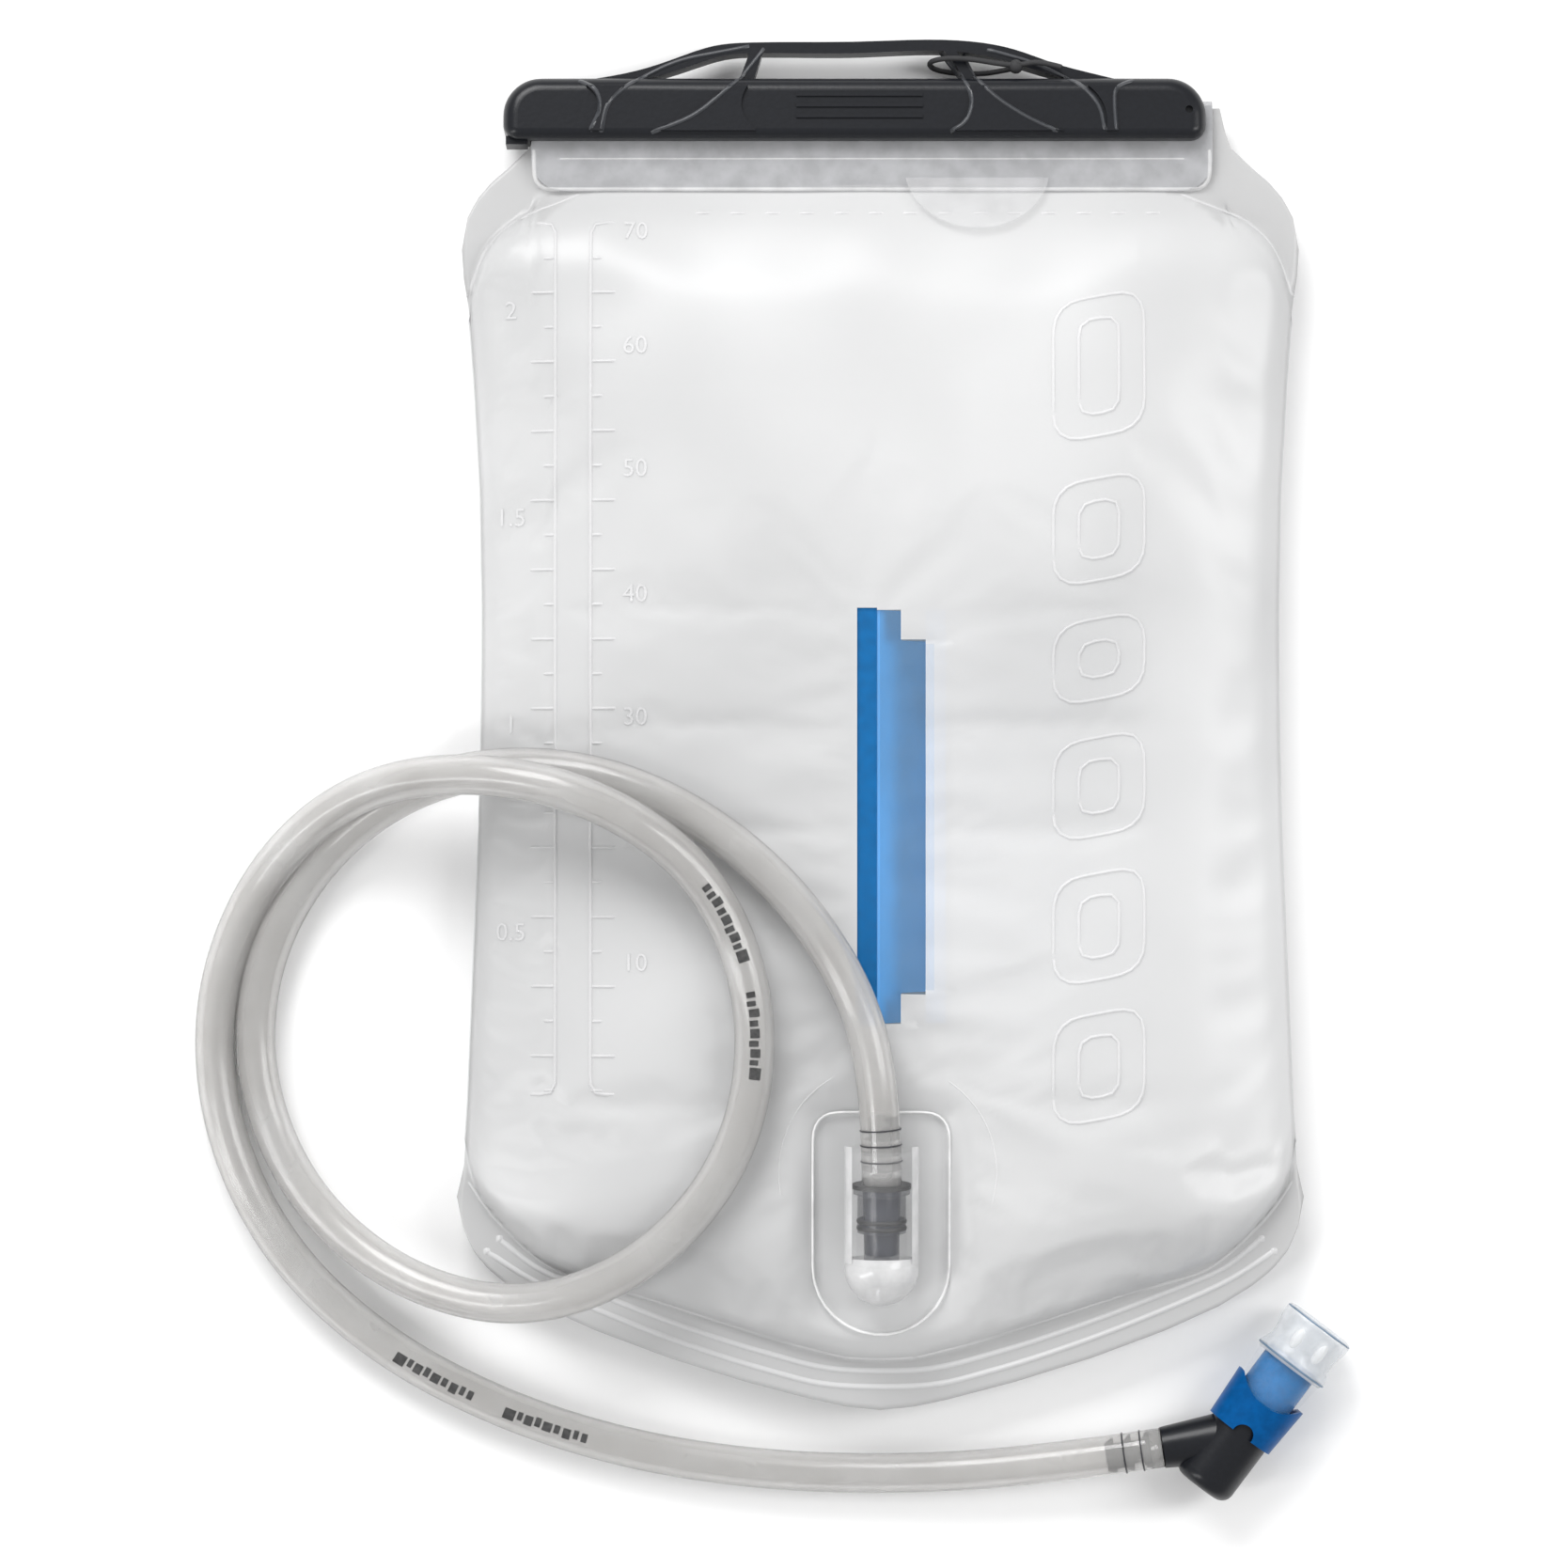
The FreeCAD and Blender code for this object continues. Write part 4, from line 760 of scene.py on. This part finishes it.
# ---------------------------------------------------------------- port
# One clear moulding: a plate welded on the front film, and a bullet-shaped
# socket on it. A poppet and a steel spring inside shut it when the hose is out.
# A white bead along the plate's rim is a painted highlight.
clear, clear_shader = moulded("clear_moulding", (0.86, 0.865, 0.87), 0.12, 200.0, 0.02)
clear_shader.inputs["Alpha"].default_value = 0.05
clear_shader.inputs["Specular IOR Level"].default_value = 0.25
for name in ("port_body", "port_poppet"):
    finish_node(name, clear)
steel, steel_shader = moulded("spring_steel", (0.55, 0.55, 0.56), 0.3, 900.0, 0.05)
steel_shader.inputs["Metallic"].default_value = 1.0
finish_node("port_spring", steel)
port_surface = Surface(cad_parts["port_body"])
rim_highlight, rim_highlight_shader = moulded("port_rim_painted_highlight", (0.95, 0.95, 0.95), 0.12, 200.0, 0.02)
rim_highlight_shader.inputs["Alpha"].default_value = 0.8
rims = bmesh.new()
HALF, PLATE_TOP, FOOT_Y = 16.1, -91.3, -128.0
turns = [math.radians(angle) for angle in range(0, -181, -12)]
foot = [(HALF * math.cos(turn), FOOT_Y + HALF * math.sin(turn)) for turn in turns]
plate_line = rounded_path([(0.0, PLATE_TOP), (HALF, PLATE_TOP), (HALF, -118.0)], 6.5) + foot
plate_line += rounded_path([(-HALF, -118.0), (-HALF, PLATE_TOP), (0.0, PLATE_TOP)], 6.5)
bead(rims, plate_line, 0.65, 0.35, port_surface, 21.5, 1.5)
new_piece("port_plate_rim_highlight", rims, rim_highlight, "reservoir", "clear_mould")

# Painted highlights: white shells along both sides of the socket and over its closed end, where its thick
# clear wall catches the light.
wall_highlight, wall_highlight_shader = moulded("port_wall_painted_highlight", (0.76, 0.76, 0.765), 0.15, 200.0, 0.02)
wall_highlight_shader.inputs["Alpha"].default_value = 0.72
wall_highlights = bmesh.new()
AXIS_Z, AXIS_SLOPE = 31.4, math.tan(PORT_TILT)
SOCKET_MOUTH_Y = -107.4
WALL_RADIUS = 8.7
bmesh.ops.create_uvsphere(wall_highlights, u_segments=40, v_segments=24, radius=WALL_RADIUS)
bmesh.ops.rotate(wall_highlights, verts=wall_highlights.verts, matrix=Matrix.Rotation(math.radians(90.0), 3, "X"))
parts = list(wall_highlights.verts) + list(wall_highlights.edges) + list(wall_highlights.faces)
bmesh.ops.bisect_plane(wall_highlights, geom=parts, plane_co=(0, 2.6, 0), plane_no=(0, 1, 0), clear_outer=True)
bmesh.ops.translate(wall_highlights, verts=wall_highlights.verts, vec=(0, -127.8, AXIS_Z - 20.4 * AXIS_SLOPE))
for side in SIDES:
    rail = bmesh.ops.create_grid(wall_highlights, x_segments=24, y_segments=6, size=1.0)
    for v in rail["verts"]:
        reach = (v.co.x + 1) / 2
        turn = math.radians(19.0 + 17.0 * v.co.y)
        y = -98.8 - 27.5 * reach
        axis_z = AXIS_Z + (y - SOCKET_MOUTH_Y) * AXIS_SLOPE
        v.co = (side * WALL_RADIUS * math.cos(turn), y, axis_z + WALL_RADIUS * math.sin(turn))
new_piece("port_socket_wall_highlights", wall_highlights, wall_highlight, "reservoir", "clear_mould")


# ---------------------------------------------------------------- hose connector
# A smoky clear moulding that plugs into the port, with a black gasket under its
# rim and two black rings in grooves. The hose is pushed over its barbs.
smoke, smoke_shader = moulded("smoky_moulding", (0.05, 0.055, 0.075), 0.14, 300.0, 0.02)
smoke_shader.inputs["Alpha"].default_value = 0.42
finish_node("hose_connector", smoke)
rubber, _ = moulded("seal_rubber", (0.012, 0.012, 0.014), 0.5, 700.0, 0.1)
for name in ("connector_rim_gasket", "connector_seal_rings"):
    finish_node(name, rubber)

# The connector's dark check valve shows through its smoky barrel.
core_dark, _ = moulded("connector_valve_dark", (0.03, 0.033, 0.055), 0.25, 300.0, 0.03)
check_valve = bmesh.new()
bmesh.ops.create_cone(check_valve, cap_ends=True, segments=40, radius1=4.0, radius2=4.5, depth=15.8)
rim_edges = [e for e in check_valve.edges if abs(e.verts[0].co.z - e.verts[1].co.z) < 0.01]
bmesh.ops.bevel(check_valve, geom=rim_edges, offset=0.5, segments=2, profile=0.5, affect="EDGES", material=-1)
bmesh.ops.rotate(check_valve, verts=check_valve.verts, matrix=Matrix.Rotation(math.radians(-85.0), 3, "X"))
bmesh.ops.translate(check_valve, verts=check_valve.verts, vec=(0, -116.6, AXIS_Z - 9.2 * AXIS_SLOPE))
new_piece("connector_check_valve", check_valve, core_dark, "hose", "smoke")

# Each barb swells the hose into a thin dark ring.
rings = bmesh.new()
hose_rings, ring_shader = moulded("hose_stretch_ring", (0.03, 0.03, 0.04), 0.3, 300.0, 0.05)
ring_shader.inputs["Alpha"].default_value = 0.7
RING_SWELL = 0.22
BARB_RINGS = [5.4, 9.2, 12.8, path_length(tube_line) - 9.2, path_length(tube_line) - 5.0]
for reach in BARB_RINGS:
    centre, ahead = walk(tube_line, reach)
    side = ahead.cross(Vector((0, 0, 1))).normalized()
    up = side.cross(ahead)
    loop = bmesh.ops.create_grid(rings, x_segments=40, y_segments=6, size=1.0)
    for v in loop["verts"]:
        turn, around = math.pi * v.co.x, math.pi * v.co.y
        out = TUBE_RADIUS / MM + 0.02 + RING_SWELL * math.cos(around)
        v.co = centre + (side * math.cos(turn) + up * math.sin(turn)) * out
        v.co += ahead * (RING_SWELL * math.sin(around))
bmesh.ops.remove_doubles(rings, verts=rings.verts, dist=0.01)
new_piece("hose_barb_rings", rings, hose_rings, "hose", "hose")


# ---------------------------------------------------------------- bite valve
# A charcoal plastic elbow, pushed into the hose on its barb. A blue collar and the
# core inside it turn on the elbow to shut the water off.
finish_node("valve_elbow", charcoal)
blue, blue_shader = moulded("blue_moulding", (0.0008, 0.078, 0.26), 0.28, 500.0, 0.06)
blue_shader.inputs["Specular IOR Level"].default_value = 0.08
finish_node("shutoff_collar", blue)
core_blue, core_shader = moulded("core_blue", (0.001, 0.14, 0.38), 0.22, 500.0, 0.06)
core_shader.inputs["Specular IOR Level"].default_value = 0.2
finish_node("valve_core", core_blue)
finish_node("core_seal_ring", rubber)


# ---------------------------------------------------------------- mouthpiece
# One clear silicone moulding: a thin sleeve stretched over the blue core, a
# sealing bead, a waist and a flared tip that is pinched open at its slit.
VALVE = Matrix(((-0.8, 0.0, 0.6, 75.8), (0.6, 0.0, 0.8, -181.0), (0.0, 1.0, 0.0, 9.5), (0.0, 0.0, 0.0, 1.0)))


# Profiles as (radius, height along the valve's axis).
SLEEVE_PROFILE = [
    (6.98, 25.0), (7.5, 25.1), (7.75, 27.0), (8.1, 31.0), (8.4, 34.4), (8.6, 35.6), (6.98, 35.6),
    (6.98, 25.0),
]
TIP_PROFILE = [
    (8.6, 35.6), (9.25, 36.4), (9.3, 37.0), (8.95, 37.9), (8.3, 39.6), (8.2, 41.2), (8.45, 43.0),
    (9.0, 46.0), (9.05, 47.2), (8.6, 48.1), (7.4, 48.4), (0.02, 48.3), (0.02, 46.8), (6.4, 46.8),
    (6.1, 41.0), (6.9, 37.6), (6.98, 35.6), (8.6, 35.6),
]


def turned(builder, profile, steps=48):
    """Spins a profile of (radius, height) about the valve's axis."""
    line = [builder.verts.new((radius, 0.0, height)) for radius, height in profile]
    edges = [builder.edges.new(pair) for pair in zip(line, line[1:])]
    bmesh.ops.spin(builder, geom=line + edges, axis=(0, 0, 1), cent=(0, 0, 0), steps=steps,
                   angle=2 * math.pi, use_merge=True)
    bmesh.ops.remove_doubles(builder, verts=builder.verts, dist=0.001)


silicone, silicone_shader = moulded("mouthpiece_silicone", (0.90, 0.92, 0.94), 0.15, 200.0, 0.02)
silicone_shader.inputs["Alpha"].default_value = 0.035
silicone_shader.inputs["Specular IOR Level"].default_value = 0.15
sleeve = bmesh.new()
turned(sleeve, SLEEVE_PROFILE)
bmesh.ops.transform(sleeve, matrix=VALVE, verts=sleeve.verts)
new_piece("mouthpiece_sleeve", sleeve, silicone, "shutoff", "silicone", "mouthpiece")

tip_silicone, tip_shader = moulded("mouthpiece_tip_silicone", (0.80, 0.83, 0.86), 0.14, 200.0, 0.02)
tip_shader.inputs["Alpha"].default_value = 0.42
tip = bmesh.new()
turned(tip, TIP_PROFILE)
for v in tip.verts:
    radius = math.hypot(v.co.x, v.co.y)
    if radius > 7.9 and v.co.z > 38.2:
        wave = 1.0 - 0.028 * (1.0 - abs(math.cos(4.0 * math.atan2(v.co.y, v.co.x))))
        v.co.x *= wave
        v.co.y *= wave
bmesh.ops.transform(tip, matrix=VALVE, verts=tip.verts)
new_piece("mouthpiece_tip", tip, tip_silicone, "shutoff", "silicone")

lobe_silicone, lobe_shader = moulded("mouthpiece_lobe_silicone", (0.95, 0.96, 0.97), 0.2, 200.0, 0.02)
lobe_shader.inputs["Alpha"].default_value = 0.4
lobes = bmesh.new()
for side in SIDES:
    for turn in (0.0, 1.0):
        lobe = bmesh.ops.create_uvsphere(lobes, u_segments=20, v_segments=14, radius=1.0)
        bmesh.ops.scale(lobes, vec=(1.5, 1.6, 3.2), verts=lobe["verts"])
        place = (side * (3.1 + 1.2 * turn), 6.9 - 3.0 * turn, 42.6)
        bmesh.ops.translate(lobes, vec=place, verts=lobe["verts"])
bmesh.ops.transform(lobes, matrix=VALVE, verts=lobes.verts)
new_piece("mouthpiece_lobes", lobes, lobe_silicone, "shutoff", "silicone")

line_silicone, line_shader = moulded("mouthpiece_ring_line", (0.16, 0.25, 0.36), 0.25, 200.0, 0.02)
line_shader.inputs["Alpha"].default_value = 0.8
ring_lines = bmesh.new()
for radius, height, thick in ((9.2, 36.5, 0.28), (8.75, 47.6, 0.2)):
    hoop = bmesh.ops.create_grid(ring_lines, x_segments=56, y_segments=6, size=1.0)
    for v in hoop["verts"]:
        turn, around = math.pi * v.co.x, math.pi * v.co.y
        out = radius + thick * math.cos(around)
        v.co = (out * math.cos(turn), out * math.sin(turn), height + thick * math.sin(around))
bmesh.ops.remove_doubles(ring_lines, verts=ring_lines.verts, dist=0.01)
bmesh.ops.transform(ring_lines, matrix=VALVE, verts=ring_lines.verts)
new_piece("mouthpiece_ring_lines", ring_lines, line_silicone, "shutoff", "silicone")


# ---------------------------------------------------------------- studio
# A white table, a broad soft light overhead and an even white room.
stage_builder = bmesh.new()
bmesh.ops.create_grid(stage_builder, x_segments=1, y_segments=1, size=3.0)
floor_mesh = bpy.data.meshes.new("floor")
stage_builder.to_mesh(floor_mesh)
stage_builder.free()
floor_material, floor_shader = principled("table_white")
floor_shader.inputs["Base Color"].default_value = (0.9, 0.9, 0.9, 1.0)
floor_shader.inputs["Roughness"].default_value = 0.9
floor_mesh.materials.append(floor_material)
floor = bpy.data.objects.new("floor", floor_mesh)
floor.location.z = -0.0005
bpy.context.scene.collection.objects.link(floor)


def softbox(name, place, size, power):
    """A rectangular light that faces the middle of the table."""
    light_data = bpy.data.lights.new(name, "AREA")
    light_data.shape = "RECTANGLE"
    light_data.size = size[0]
    light_data.size_y = size[1]
    light_data.energy = power
    light = bpy.data.objects.new(name, light_data)
    light.location = place
    light.rotation_euler = (-Vector(place)).to_track_quat("-Z", "Y").to_euler()
    bpy.context.scene.collection.objects.link(light)


softbox("key", (-0.5, 1.3, 1.2), (1.0, 0.8), 25.0)
softbox("fill", (1.1, 0.2, 1.1), (0.5, 0.9), 9.0)
softbox("strip", (-1.1, -0.5, 0.9), (0.25, 1.2), 7.0)
world = bpy.data.worlds.new("room")
world.use_nodes = True
world.node_tree.nodes["Background"].inputs["Color"].default_value = (1.0, 1.0, 1.0, 1.0)
world.node_tree.nodes["Background"].inputs["Strength"].default_value = 0.62
bpy.context.scene.world = world
bpy.context.scene.view_settings.view_transform = "Standard"
bpy.context.scene.cycles.transparent_max_bounces = 24
